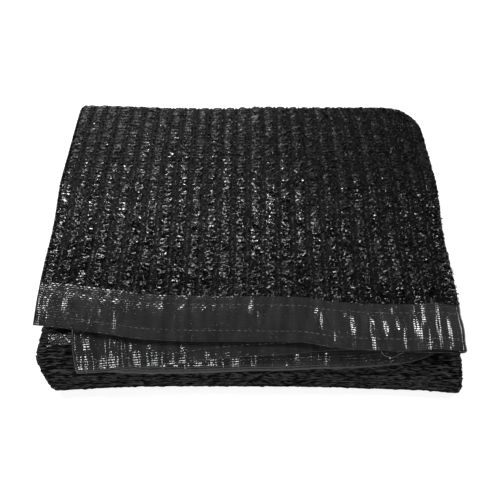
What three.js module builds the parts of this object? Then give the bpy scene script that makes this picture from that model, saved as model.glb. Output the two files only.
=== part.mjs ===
// A knitted shade net with a bound edge, folded up and laid flat on a surface.
//
// The net is one sheet. It is first pleated side to side into six leaves, and the pleated strip is
// then folded front to back into three legs, so eighteen layers lie on each other. The bound end of
// the strip comes out on top, and its leaves fan over the closed front fold.
//
// Millimetres. +Z is up, the bound edge faces -Y, and +X is to the right of someone who faces it.

import * as THREE from 'three';

// Thicknesses
const NET_THICKNESS = 1.6;
const BOUND_NET_THICKNESS = 1.0; // the net is pinched where the binding holds it
const TAPE_THICKNESS = 1.0;
const CLEARANCE = 0.3;
const PINCH_SHARE = 0.03; // of the droop's length, where the net thins to its bound thickness
const BINDING_WIDTH = 37.5;
const NET_END = 1 - (TAPE_THICKNESS + CLEARANCE) / BINDING_WIDTH; // share of the bound zone

// Layers
const LEAF_COUNT = 6;
const PLY_PITCH = 3.2;
const BOUND_FOLD_RADIUS = 2.2; // side folds are wider where the binding goes round them
const STRIP_THICKNESS = LEAF_COUNT * PLY_PITCH;
const MIDDLE_LEVEL = (LEAF_COUNT + 1) / 2;
const OUTER_RADIUS = (LEAF_COUNT - 0.5) * PLY_PITCH;

// Side view of the folded strip
const BOTTOM_HEIGHT = NET_THICKNESS / 2 + (STRIP_THICKNESS - PLY_PITCH) / 2;
const MIDDLE_HEIGHT = BOTTOM_HEIGHT + STRIP_THICKNESS;
const FRONT_FOLD_Y = 12.5;
const BACK_FOLD_Y = 290;
const STRIP_END_Y = 286;
const LIFT_START_Y = 170;
const DROOP_START_Y = 92;
const FOLD_SQUEEZE = 0.9; // the front and back folds are flatter than half circles
const FRONT_FOLD_SQUARENESS = { low: 1.1, high: 0.0 };
const BACK_FOLD_SQUARENESS = { low: 0.4, high: 0.2 };
const SHORTEST_SINE = 0.02;
const LONGEST_FALL = 0.26;

// The part's own reference point, under the middle of its outline
const REFERENCE = { x: -1.6, y: 147.1 };

// Leaves of the top leg. height: where the leaf lies at the back. lift: how much higher it is where
// it starts to droop. reach and fall: how far the droop keeps the flat and the final direction.
// edge: the bound edge from left to right, with the slope of the leaf there in degrees.
const LEAVES = [
  {
    height: 59.2, reach: 0.52, fall: 0.60,
    lift: { x: [-158, -90, -40, 40, 158], rise: [5.4, 4.6, 3.4, 3.2, 3.2] },
    edge: {
      x: [-158, -138, -103, -77, -42, 0, 36, 61, 90, 117, 136, 153],
      y: [14.4, 12.1, 6.9, 3.0, 1.9, 1.6, 1.0, -3.8, -6.1, -6.6, -5.2, -8.1],
      z: [54, 53, 52, 51, 50, 50, 50, 50, 50, 50, 50, 50],
      slope: [18, 20, 22, 24, 25, 25, 25, 26, 26, 26, 26, 28],
    },
  },
  {
    height: 55.2, reach: 0.50, fall: 0.62,
    lift: { x: [-158, -60, 0, 158], rise: [4.0, 3.4, 2.8, 2.8] },
    edge: {
      x: [-158, -126, -73, -49, -25, 0, 26, 51, 69, 95, 125, 155],
      y: [-9.0, -10.8, -8.4, -7.2, -5.2, -3.8, -2.8, -1.0, -0.6, -2.5, -4.5, -6.1],
      z: [31.5, 31.4, 35.4, 37.4, 39.4, 41.1, 41.8, 43, 44, 45, 45.6, 46.2],
      slope: [72, 72, 66, 58, 52, 46, 42, 38, 34, 31, 29, 28],
    },
  },
  {
    height: 51.4, reach: 0.48, fall: 0.66,
    lift: { x: [-158, 0, 158], rise: [3.2, 2.4, 2.4] },
    edge: {
      x: [-158, -126, -73, -49, -25, 0, 26, 51, 69, 90, 110, 123, 136, 152],
      y: [-6.6, -6.8, -5.8, -5.4, -5.4, -5.4, -5.5, -6.0, -6.3, -6.6, -6.2, -4.2, 0.4, 7.0],
      z: [29.4, 29.4, 25.4, 25.2, 26.3, 27.9, 28.5, 30.9, 31.6, 33.6, 36.2, 38.2, 41.0, 44.0],
      slope: [80, 80, 84, 84, 84, 82, 80, 76, 72, 66, 58, 52, 40, 28],
    },
  },
  {
    height: 47.8, reach: 0.50, fall: 0.50,
    lift: { x: [-158, 158], rise: [1.8, 1.8] },
    edge: {
      x: [-158, -60, 0, 50, 100, 152],
      y: [44, 43, 41, 36, 24, 9.2],
      z: [47.6, 47.6, 47.0, 45.4, 42.8, 40.2],
      slope: [4, 5, 7, 12, 18, 24],
    },
  },
  {
    height: 44.2, reach: 0.40, fall: 0.50,
    lift: { x: [-158, 158], rise: [1.0, 1.0] },
    edge: { x: [-158, 0, 158], y: [44.5, 46, 48], z: [43.3, 43.3, 43.3], slope: [2, 2, 2] },
  },
  {
    height: 40.6, reach: 0.40, fall: 0.50,
    lift: { x: [-158, 158], rise: [0, 0] },
    edge: { x: [-158, 0, 158], y: [52, 51, 48.5], z: [39.0, 39.0, 39.0], slope: [0, 0, 0] },
  },
];

// Where the side folds and the two free sides lie (x), at eight places along the strip. at: the
// place along the run of zones below.
const SIDE_PLACES = {
  at: [0, 1, 2, 3, 4, 5, 6, 7],
  //            strip end, front low, front high, back low, back high, top middle, droop, bound edge
  free1: [-149, -143.5, -152.5, -156, -165, -166.5, -159, -158.5],
  fold12: [154, 157.0, 154, 158, 162, 162.5, 154.5, 153.5],
  fold23: [-148, -143, -152, -155, -162.5, -164, -139, -125.5],
  fold34: [155, 156.5, 155, 159, 161, 162, 154, 150],
  fold45: [-151, -144, -157.5, -157, -164, -165.5, -159.5, -153],
  fold56: [153, 157, 153.5, 158, 160, 161, 155, 152],
  free6: [-150, -143, -156.5, -155, -161, -161, -156, -152],
};
const SIDE_NAMES = ['free1', 'fold12', 'fold23', 'fold34', 'fold45', 'fold56', 'free6'];

// Unevenness of the whole: the bulk's front is bowed, the back has two swells, and the back corners
// are rounded.
const BOW_SHIFT = 0.8 * STRIP_THICKNESS; // the bow is measured from the front of the fold
const FRONT_BOW = {
  x: [-156, -145, -104, -68, 0, 45, 98, 128, 150, 160],
  y: [-4.4, -3.9, -1.2, -0.1, 0, -0.5, -2.4, -3.8, -6.0, -7.6],
  reach: 90,
};
const BACK_SWELL = {
  x: [-166, -120, -75, -20, 20, 50, 139, 166],
  rise: [6, 5, 2.6, 2.4, 4.6, 3.4, 3.4, 0],
  start: 200,
  length: 100,
  from: 4, // the lowest layer stays flat
  height: 60,
};
const BACK_LIMIT_Y = 306;
const CORNER_RADIUS = { left: 20, right: 46 };
const CORNER_SHARE = 0.985;
const HALF_WIDTH = 165;

// Steps of the surface: zones along the run of the strip, and leaves across it.
const RUN = [
  { zone: 'bottom', steps: 4 },
  { zone: 'frontFold', steps: 7 },
  { zone: 'middle', steps: 4 },
  { zone: 'backFold', steps: 7 },
  { zone: 'top', steps: 5 },
  { zone: 'droop', steps: 7 },
  { zone: 'bound', steps: 5 },
];
const SIDE_PLACE_OF = {
  bottom: [0, 1], frontFold: [1, 2], middle: [2, 3], backFold: [3, 4], top: [4, 6],
  droop: [6, 6.6], bound: [6.6, 7],
};
const LEAF_STEPS = [10, 7, 7, 5, 5, 6];
const FOLD_STEPS = 4;
const ARC_SAMPLES = 48;
const NUDGE = 1e-3;
const END_MARGIN = 1e-6;

// Colours
const NET_FINISH = { color: 0x1b1c1e, roughness: 0.55, metalness: 0.0 };
const TAPE_FINISH = { color: 0x2b2d30, roughness: 0.35, metalness: 0.0 };

const clamp = THREE.MathUtils.clamp;
const lerp = THREE.MathUtils.lerp;
const degToRad = THREE.MathUtils.degToRad;

// A smooth curve through a table's points that never overshoots them.
function follow(xs, values, x) {
  const last = xs.length - 1;
  const at = clamp(x, xs[0], xs[last]);
  let k = 0;
  while (k < last - 1 && at > xs[k + 1]) k += 1;
  const rise = (i) => (values[i + 1] - values[i]) / (xs[i + 1] - xs[i]);
  const tangent = (i) => {
    if (i === 0) return rise(0);
    if (i === last) return rise(last - 1);
    const before = rise(i - 1);
    const after = rise(i);
    return before * after <= 0 ? 0 : (2 * before * after) / (before + after);
  };
  const span = xs[k + 1] - xs[k];
  const t = (at - xs[k]) / span;
  const keep = (1 + 2 * t) * (1 - t) * (1 - t);
  const leave = t * (1 - t) * (1 - t) * span;
  const arrive = t * t * (t - 1) * span;
  return keep * values[k] + (1 - keep) * values[k + 1] + leave * tangent(k) + arrive * tangent(k + 1);
}

const ease = (t) => THREE.MathUtils.smoothstep(t, 0, 1);

// Height of a level above the middle of the strip; level 1 is leaf 1.
const levelOffset = (level) => (MIDDLE_LEVEL - level) * PLY_PITCH;

// A value of the leaves, for a level between two of them.
function betweenLeaves(level, valueOf) {
  const lower = clamp(Math.floor(level), 1, LEAF_COUNT - 1);
  return lerp(valueOf(LEAVES[lower - 1]), valueOf(LEAVES[lower]), level - lower);
}

const topHeight = (level) => betweenLeaves(level, (leaf) => leaf.height);
const topLift = (level, x) => betweenLeaves(level, (leaf) => follow(leaf.lift.x, leaf.lift.rise, x));

// Half of a flattened fold: how far it sticks out, and how far it is below its middle.
function foldPoint(radius, turn, squareness) {
  const low = Math.cos(turn) > 0;
  const power = 2 + (low ? squareness.low : squareness.high) * (radius / OUTER_RADIUS);
  const out = radius * FOLD_SQUEEZE * Math.abs(Math.sin(turn)) ** (2 / power);
  const down = radius * Math.sign(Math.cos(turn)) * Math.abs(Math.cos(turn)) ** (2 / power);
  return { out, down };
}

// The drooping front of one leaf at side position x, as a curve in the side view.
function droopCurve(leaf, x) {
  const end = new THREE.Vector2(follow(leaf.edge.x, leaf.edge.y, x), follow(leaf.edge.x, leaf.edge.z, x));
  const slope = degToRad(follow(leaf.edge.x, leaf.edge.slope, x));
  const startHeight = leaf.height + follow(leaf.lift.x, leaf.lift.rise, x);
  const start = new THREE.Vector2(DROOP_START_Y, startHeight);
  const length = DROOP_START_Y - end.x;
  const drop = (startHeight - end.y) / Math.max(Math.sin(slope), SHORTEST_SINE);
  const fall = Math.min(LONGEST_FALL * length, leaf.fall * drop);
  const reach = new THREE.Vector2(DROOP_START_Y - leaf.reach * length, startHeight);
  const approach = new THREE.Vector2(end.x + fall * Math.cos(slope), end.y + fall * Math.sin(slope));
  return new THREE.CubicBezierCurve(start, reach, approach, end);
}

// A point of that curve by its length: the bound zone is the last BINDING_WIDTH of it.
function droopPoint(leaf, x, zone, t) {
  const curve = droopCurve(leaf, x);
  curve.arcLengthDivisions = ARC_SAMPLES;
  const length = curve.getLength();
  const free = length - BINDING_WIDTH;
  const at = zone === 'droop' ? free * t : free + BINDING_WIDTH * t;
  return curve.getPointAt(clamp(at / length, 0, 1));
}

// Side view (y, z) of a level in each zone of the run.
const SIDE_VIEW = {
  bottom: (level, x, t) => [lerp(STRIP_END_Y, FRONT_FOLD_Y, t), BOTTOM_HEIGHT + levelOffset(level)],
  frontFold: (level, x, t) => {
    const radius = STRIP_THICKNESS / 2 - levelOffset(level);
    const fold = foldPoint(radius, Math.PI * t, FRONT_FOLD_SQUARENESS);
    return [FRONT_FOLD_Y - fold.out, (BOTTOM_HEIGHT + MIDDLE_HEIGHT) / 2 - fold.down];
  },
  middle: (level, x, t) => [lerp(FRONT_FOLD_Y, BACK_FOLD_Y, t), MIDDLE_HEIGHT - levelOffset(level)],
  backFold: (level, x, t) => {
    const radius = STRIP_THICKNESS / 2 + levelOffset(level);
    const fold = foldPoint(radius, Math.PI * t, BACK_FOLD_SQUARENESS);
    const low = MIDDLE_HEIGHT - levelOffset(level);
    const high = topHeight(level);
    return [BACK_FOLD_Y + fold.out, (low + high) / 2 - ((fold.down / radius) * (high - low)) / 2];
  },
  top: (level, x, t) => {
    const y = lerp(BACK_FOLD_Y, DROOP_START_Y, t);
    const share = ease((LIFT_START_Y - y) / (LIFT_START_Y - DROOP_START_Y));
    return [y, topHeight(level) + topLift(level, x) * share];
  },
};
for (const zone of ['droop', 'bound']) {
  SIDE_VIEW[zone] = (level, x, t) => {
    const lower = clamp(Math.floor(level), 1, LEAF_COUNT - 1);
    const above = droopPoint(LEAVES[lower - 1], x, zone, t);
    const below = droopPoint(LEAVES[lower], x, zone, t);
    return above.lerp(below, level - lower).toArray();
  };
}

// The front of the two lower legs follows the bow.
function bowed(zone, x, y) {
  if (!['bottom', 'frontFold', 'middle'].includes(zone)) return y;
  const away = (y - FRONT_FOLD_Y + BOW_SHIFT) / FRONT_BOW.reach;
  return y + follow(FRONT_BOW.x, FRONT_BOW.y, x) * Math.exp(-away * away);
}

// The back corners are rounded in plan, and the back swells, for every layer alike.
function shaped(x, y, z) {
  const radius = x > 0 ? CORNER_RADIUS.right : CORNER_RADIUS.left;
  const into = clamp(y - (BACK_LIMIT_Y - radius), 0, radius * CORNER_SHARE);
  const cut = radius - Math.sqrt(radius * radius - into * into);
  const swell = follow(BACK_SWELL.x, BACK_SWELL.rise, x) * ease((y - BACK_SWELL.start) / BACK_SWELL.length);
  return new THREE.Vector3(
    x - Math.sign(x) * cut * (x / HALF_WIDTH) ** 2,
    y,
    z + swell * (Math.max(z - BACK_SWELL.from, 0) / BACK_SWELL.height) ** 2,
  );
}

// Radius of the side folds along the run.
function sideRadius(zone, t) {
  if (zone === 'bound') return BOUND_FOLD_RADIUS;
  if (zone === 'droop') return lerp(PLY_PITCH / 2, BOUND_FOLD_RADIUS, ease(t));
  return PLY_PITCH / 2;
}

// The middle surface of the net. across counts leaves and folds in turn: 0 to 1 is leaf 1, 1 to 2
// the fold to leaf 2, and so on. run counts zones.
function netPoint(across, run) {
  const step = clamp(Math.floor(run), 0, RUN.length - 1);
  const { zone } = RUN[step];
  const t = run - step;
  const [from, to] = SIDE_PLACE_OF[zone];
  const place = lerp(from, to, t);
  const piece = clamp(Math.floor(across), 0, 2 * LEAF_COUNT - 2);
  const share = across - piece;
  const leaf = Math.floor(piece / 2) + 1;
  const tip = (side) => follow(SIDE_PLACES.at, SIDE_PLACES[SIDE_NAMES[side]], place);
  const toRight = leaf % 2 === 1 ? 1 : -1;
  const radius = sideRadius(zone, t);
  const end = tip(leaf) - (leaf === LEAF_COUNT ? 0 : toRight * radius);
  let x = end;
  let level = leaf;
  if (piece % 2 === 0) {
    const start = tip(leaf - 1) + (leaf === 1 ? 0 : toRight * radius);
    x = lerp(start, end, share);
  } else {
    x += toRight * radius * Math.sin(Math.PI * share);
    level += (1 - Math.cos(Math.PI * share)) / 2;
  }
  const [y, z] = SIDE_VIEW[zone](level, x, t);
  return shaped(x, bowed(zone, x, y), z);
}

// The direction square to the net, from two short steps along it.
function netNormal(across, run) {
  const acrossEnd = 2 * LEAF_COUNT - 1;
  const runEnd = RUN.length;
  const stepTo = (value, end, sign) => clamp(value + sign * NUDGE, 0, end - END_MARGIN);
  const sideways = netPoint(stepTo(across, acrossEnd, 1), run)
    .sub(netPoint(stepTo(across, acrossEnd, -1), run));
  const forward = netPoint(across, stepTo(run, runEnd, 1))
    .sub(netPoint(across, stepTo(run, runEnd, -1)));
  return sideways.cross(forward).normalize();
}

// Places of the surface's columns, left to right through the pleats.
function acrossStations() {
  const places = [];
  for (let leaf = 0; leaf < LEAF_COUNT; leaf += 1) {
    for (let i = 0; i < LEAF_STEPS[leaf]; i += 1) places.push(2 * leaf + i / LEAF_STEPS[leaf]);
    if (leaf === LEAF_COUNT - 1) break;
    for (let i = 0; i < FOLD_STEPS; i += 1) places.push(2 * leaf + 1 + i / FOLD_STEPS);
  }
  places.push(2 * LEAF_COUNT - 1);
  return places;
}

// Rows of the net: run and half thickness. It ends just inside the binding.
function netRows() {
  const rows = [];
  const boundZone = RUN.length - 1;
  RUN.forEach(({ steps }, zone) => {
    if (zone === boundZone) return;
    for (let i = 0; i < steps; i += 1) rows.push({ run: zone + i / steps, half: NET_THICKNESS / 2 });
  });
  rows.push({ run: boundZone - PINCH_SHARE, half: NET_THICKNESS / 2 });
  const { steps } = RUN[boundZone];
  for (let i = 0; i <= steps; i += 1) {
    rows.push({ run: boundZone + (NET_END * i) / steps, half: BOUND_NET_THICKNESS / 2 });
  }
  return rows;
}

// The binding's section: run places and offsets from the net's middle, once round.
function bindingSection() {
  const boundZone = RUN.length - 1;
  const { steps } = RUN[boundZone];
  const inner = BOUND_NET_THICKNESS / 2 + CLEARANCE;
  const outer = inner + TAPE_THICKNESS;
  const tipStart = 1 - (outer - inner) / BINDING_WIDTH;
  const section = [];
  const places = [];
  for (let i = 0; i < steps; i += 1) places.push((NET_END * i) / steps);
  places.push(tipStart);
  const leg = (offset, order) => order.forEach((at) => section.push({ run: boundZone + at, offset }));
  const toEdge = places;
  const fromEdge = [...places].reverse();
  leg(outer, toEdge);
  section.push({ run: boundZone + 1, offset: inner });
  section.push({ run: boundZone + 1, offset: -inner });
  leg(-outer, fromEdge);
  leg(-inner, toEdge);
  leg(inner, fromEdge);
  return section;
}

// A closed solid from a grid of points: ring by ring, each ring one closed outline. Every quad is
// split along the diagonal that climbs with the run, so faces that lie close stay parallel.
function solidFromRings(rings, runs) {
  const size = rings[0].length;
  const positions = rings.flat().flatMap((point) => point.toArray());
  const index = [];
  for (let r = 0; r < rings.length - 1; r += 1) {
    for (let i = 0; i < size; i += 1) {
      const next = (i + 1) % size;
      const a = r * size + i;
      const b = r * size + next;
      if (runs[next] >= runs[i]) index.push(a, b + size, b, a, a + size, b + size);
      else index.push(a, a + size, b, b, a + size, b + size);
    }
  }
  const geometry = new THREE.BufferGeometry();
  geometry.setAttribute('position', new THREE.Float32BufferAttribute(positions, 3));
  return { geometry, index, size };
}

// Flat pairs of points close the ends of a ring whose two halves run side by side.
function closeEnds(index, size, ringCount, pairs) {
  const last = (ringCount - 1) * size;
  for (const [a, b, c, d] of pairs) {
    index.push(a, b, c, a, c, d);
    index.push(last + a, last + c, last + b, last + a, last + d, last + c);
  }
}

function buildNet() {
  const rows = netRows();
  const rings = acrossStations().map((across) => {
    const face = (sign) => rows.map(({ run, half }) => (
      netPoint(across, run).addScaledVector(netNormal(across, run), sign * half)));
    return [...face(1), ...face(-1).reverse()];
  });
  const runs = rows.map(({ run }) => run);
  const { geometry, index, size } = solidFromRings(rings, [...runs, ...[...runs].reverse()]);
  const pairs = [];
  for (let i = 0; i < rows.length - 1; i += 1) pairs.push([i, i + 1, size - 2 - i, size - 1 - i]);
  closeEnds(index, size, rings.length, pairs);
  geometry.setIndex(index);
  return geometry;
}

function buildBinding() {
  const section = bindingSection();
  const rings = acrossStations().map((across) => section.map(({ run, offset }) => (
    netPoint(across, run).addScaledVector(netNormal(across, run), offset))));
  const { geometry, index, size } = solidFromRings(rings, section.map(({ run }) => run));
  const { steps } = RUN[RUN.length - 1];
  const legPoints = steps + 1;
  const outerFar = legPoints + 2;
  const innerFar = 2 * legPoints + 2;
  const innerNear = 3 * legPoints + 2;
  const pairs = [];
  for (let i = 0; i < steps; i += 1) {
    pairs.push([i, i + 1, innerNear + steps - 1 - i, innerNear + steps - i]);
    pairs.push([outerFar + i, outerFar + i + 1, innerFar + steps - 1 - i, innerFar + steps - i]);
  }
  pairs.push([steps, steps + 1, innerNear, innerNear]);
  pairs.push([steps + 1, steps + 2, innerFar + steps, innerNear]);
  pairs.push([steps + 2, outerFar, innerFar + steps, innerFar + steps]);
  closeEnds(index, size, rings.length, pairs);
  geometry.setIndex(index);
  return geometry;
}

function namedPiece(name, geometry, finish) {
  const mesh = new THREE.Mesh(geometry, new THREE.MeshStandardMaterial(finish));
  mesh.name = name;
  return mesh;
}

const foldedNet = new THREE.Group();
foldedNet.add(namedPiece('shade_net', buildNet(), NET_FINISH));
foldedNet.add(namedPiece('edge_binding', buildBinding(), TAPE_FINISH));
foldedNet.position.set(-REFERENCE.x, -REFERENCE.y, 0);

export default foldedNet;
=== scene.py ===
"""A knitted shade net with a bound edge, folded up and laid flat: the looks around the CAD solids."""

import logging
import math
from dataclasses import dataclass, field
from enum import Enum
from typing import Any

import bmesh
import bpy
import numpy as np
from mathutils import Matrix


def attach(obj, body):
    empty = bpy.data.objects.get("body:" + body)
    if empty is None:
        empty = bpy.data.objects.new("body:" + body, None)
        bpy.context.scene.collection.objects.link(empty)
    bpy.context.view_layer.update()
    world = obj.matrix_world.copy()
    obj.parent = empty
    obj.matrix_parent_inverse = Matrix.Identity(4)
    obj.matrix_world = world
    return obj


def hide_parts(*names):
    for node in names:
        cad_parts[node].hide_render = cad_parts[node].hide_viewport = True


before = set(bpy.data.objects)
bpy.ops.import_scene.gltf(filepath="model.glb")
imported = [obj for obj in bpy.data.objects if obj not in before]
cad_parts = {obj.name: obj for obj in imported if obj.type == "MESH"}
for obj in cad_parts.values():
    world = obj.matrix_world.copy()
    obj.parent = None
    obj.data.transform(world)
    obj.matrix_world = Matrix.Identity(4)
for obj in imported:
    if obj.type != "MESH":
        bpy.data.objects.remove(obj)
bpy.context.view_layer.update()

LOG = logging.getLogger("folded_net")
Array = np.ndarray
Pair = tuple[float, float]
Triple = tuple[float, float, float]

MM = 0.001
BODY = "root"
NET_NODE = "shade_net"
BINDING_NODE = "edge_binding"
SEED = 20
NUDGE = 1e-4  # keeps a place inside the open end of its range
TURN = 6.3  # about a full turn, for a random phase
SHORTEST = 1e-12  # a shorter vector has no direction
UPRIGHT = 1e-6  # a yarn that leans less than this stands upright


# Curves and the folded form

@dataclass(frozen=True)
class Table:
    """A smooth curve through a short table's points that never overshoots them."""

    at: tuple[float, ...]
    values: tuple[float, ...]

    def __call__(self, x: Array) -> Array:
        """Reads the curve.

        Args:
            x: places along the table, any shape.

        Returns:
            The curve's value at each place.
        """
        xs, ys = np.array(self.at, float), np.array(self.values, float)
        rise = np.diff(ys) / np.diff(xs)
        product, total = rise[:-1] * rise[1:], rise[:-1] + rise[1:]
        inner = np.where(product > 0, 2 * product / np.where(total == 0, 1, total), 0)
        tangent = np.concatenate([rise[:1], inner, rise[-1:]])
        x = np.clip(x, xs[0], xs[-1])
        k = np.searchsorted(xs[1:-1], x, side="left")
        span = xs[k + 1] - xs[k]
        t = (x - xs[k]) / span
        keep = (1 + 2 * t) * (1 - t) ** 2
        leave, arrive = t * (1 - t) ** 2 * span, t * t * (t - 1) * span
        return keep * ys[k] + (1 - keep) * ys[k + 1] + leave * tangent[k] + arrive * tangent[k + 1]


@dataclass(frozen=True)
class Leaf:
    """One leaf of the top leg, in mm and degrees.

    Its droop is a curve with a handle at each end: a level one, reach times its length, and one along
    the slope of its bound edge, fall times its drop. lift raises the leaf towards its droop, and the
    edge's tables go from left to right.
    """

    height: float
    reach: float
    fall: float
    lift: Table
    edge_x: tuple[float, ...]
    edge_y: tuple[float, ...]
    edge_z: tuple[float, ...]
    edge_slope: tuple[float, ...]

    def edge(self, values: tuple[float, ...], x: Array) -> Array:
        """One column of the edge's table, read at x."""
        return Table(self.edge_x, values)(x)


LEAVES = (
    Leaf(
        height=59.2, reach=0.52, fall=0.60,
        lift=Table((-158, -90, -40, 40, 158), (5.4, 4.6, 3.4, 3.2, 3.2)),
        edge_x=(-158, -138, -103, -77, -42, 0, 36, 61, 90, 117, 136, 153),
        edge_y=(14.4, 12.1, 6.9, 3.0, 1.9, 1.6, 1.0, -3.8, -6.1, -6.6, -5.2, -8.1),
        edge_z=(54, 53, 52, 51, 50, 50, 50, 50, 50, 50, 50, 50),
        edge_slope=(18, 20, 22, 24, 25, 25, 25, 26, 26, 26, 26, 28),
    ),
    Leaf(
        height=55.2, reach=0.50, fall=0.62,
        lift=Table((-158, -60, 0, 158), (4.0, 3.4, 2.8, 2.8)),
        edge_x=(-158, -126, -73, -49, -25, 0, 26, 51, 69, 95, 125, 155),
        edge_y=(-9.0, -10.8, -8.4, -7.2, -5.2, -3.8, -2.8, -1.0, -0.6, -2.5, -4.5, -6.1),
        edge_z=(31.5, 31.4, 35.4, 37.4, 39.4, 41.1, 41.8, 43, 44, 45, 45.6, 46.2),
        edge_slope=(72, 72, 66, 58, 52, 46, 42, 38, 34, 31, 29, 28),
    ),
    Leaf(
        height=51.4, reach=0.48, fall=0.66,
        lift=Table((-158, 0, 158), (3.2, 2.4, 2.4)),
        edge_x=(-158, -126, -73, -49, -25, 0, 26, 51, 69, 90, 110, 123, 136, 152),
        edge_y=(-6.6, -6.8, -5.8, -5.4, -5.4, -5.4, -5.5, -6.0, -6.3, -6.6, -6.2, -4.2, 0.4, 7.0),
        edge_z=(29.4, 29.4, 25.4, 25.2, 26.3, 27.9, 28.5, 30.9, 31.6, 33.6, 36.2, 38.2, 41.0, 44.0),
        edge_slope=(80, 80, 84, 84, 84, 82, 80, 76, 72, 66, 58, 52, 40, 28),
    ),
    Leaf(
        height=47.8, reach=0.50, fall=0.50, lift=Table((-158, 158), (1.8, 1.8)),
        edge_x=(-158, -60, 0, 50, 100, 152),
        edge_y=(44, 43, 41, 36, 24, 9.2),
        edge_z=(47.6, 47.6, 47.0, 45.4, 42.8, 40.2),
        edge_slope=(4, 5, 7, 12, 18, 24),
    ),
    Leaf(
        height=44.2, reach=0.40, fall=0.50, lift=Table((-158, 158), (1.0, 1.0)),
        edge_x=(-158, 0, 158), edge_y=(44.5, 46, 48), edge_z=(43.3, 43.3, 43.3),
        edge_slope=(2, 2, 2),
    ),
    Leaf(
        height=40.6, reach=0.40, fall=0.50, lift=Table((-158, 158), (0, 0)),
        edge_x=(-158, 0, 158), edge_y=(52, 51, 48.5), edge_z=(39.0, 39.0, 39.0),
        edge_slope=(0, 0, 0),
    ),
)


class Zone(Enum):
    """Zones of the folded strip, in the order of its run."""

    BOTTOM = 0
    FRONT_FOLD = 1
    MIDDLE = 2
    BACK_FOLD = 3
    TOP = 4
    DROOP = 5
    BOUND = 6


class Face(Enum):
    """The two faces of the net: the front shows on top of the folded stack."""

    FRONT = -1
    BACK = 1


# X in mm of leaf 1's free side, the five side folds in turn and leaf 6's free side, at eight stations
# along the strip. STATIONS says where among them each zone starts, and last where the strip ends.
STATIONS = np.array([0, 1, 2, 3, 4, 6, 6.6, 7])
SIDE_AT = (0, 1, 2, 3, 4, 5, 6, 7)
SIDE_PLACES = (
    Table(SIDE_AT, (-149, -143.5, -152.5, -156, -165, -166.5, -159, -158.5)),
    Table(SIDE_AT, (154, 157.0, 154, 158, 162, 162.5, 154.5, 153.5)),
    Table(SIDE_AT, (-148, -143, -152, -155, -162.5, -164, -139, -125.5)),
    Table(SIDE_AT, (155, 156.5, 155, 159, 161, 162, 154, 150)),
    Table(SIDE_AT, (-151, -144, -157.5, -157, -164, -165.5, -159.5, -153)),
    Table(SIDE_AT, (153, 157, 153.5, 158, 160, 161, 155, 152)),
    Table(SIDE_AT, (-150, -143, -156.5, -155, -161, -161, -156, -152)),
)


def ease(t: Array) -> Array:
    """A smooth step from 0 to 1."""
    t = np.clip(t, 0, 1)
    return t * t * (3 - 2 * t)


def rising(low: float, share: Array) -> Array:
    """A factor that goes from low to 1 as the share goes from 0 to 1."""
    return low + (1 - low) * share


def unit(vectors: Array) -> Array:
    """The same directions with a length of one."""
    return vectors / np.maximum(np.linalg.norm(vectors, axis=-1, keepdims=True), SHORTEST)


def lengths(line: Array) -> Array:
    """The length gone at each point of a line, from 0."""
    return np.concatenate([[0], np.cumsum(np.linalg.norm(np.diff(line, axis=0), axis=1))])


def wave(at: Array, length: float, phase: Array | float) -> Array:
    """A sine wave of this length."""
    return np.sin(2 * np.pi * at / length + phase)


def bell(away: Array) -> Array:
    """A bell curve: 1 at its middle and 0.37 at one away from it."""
    return np.exp(-away ** 2)


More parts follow.
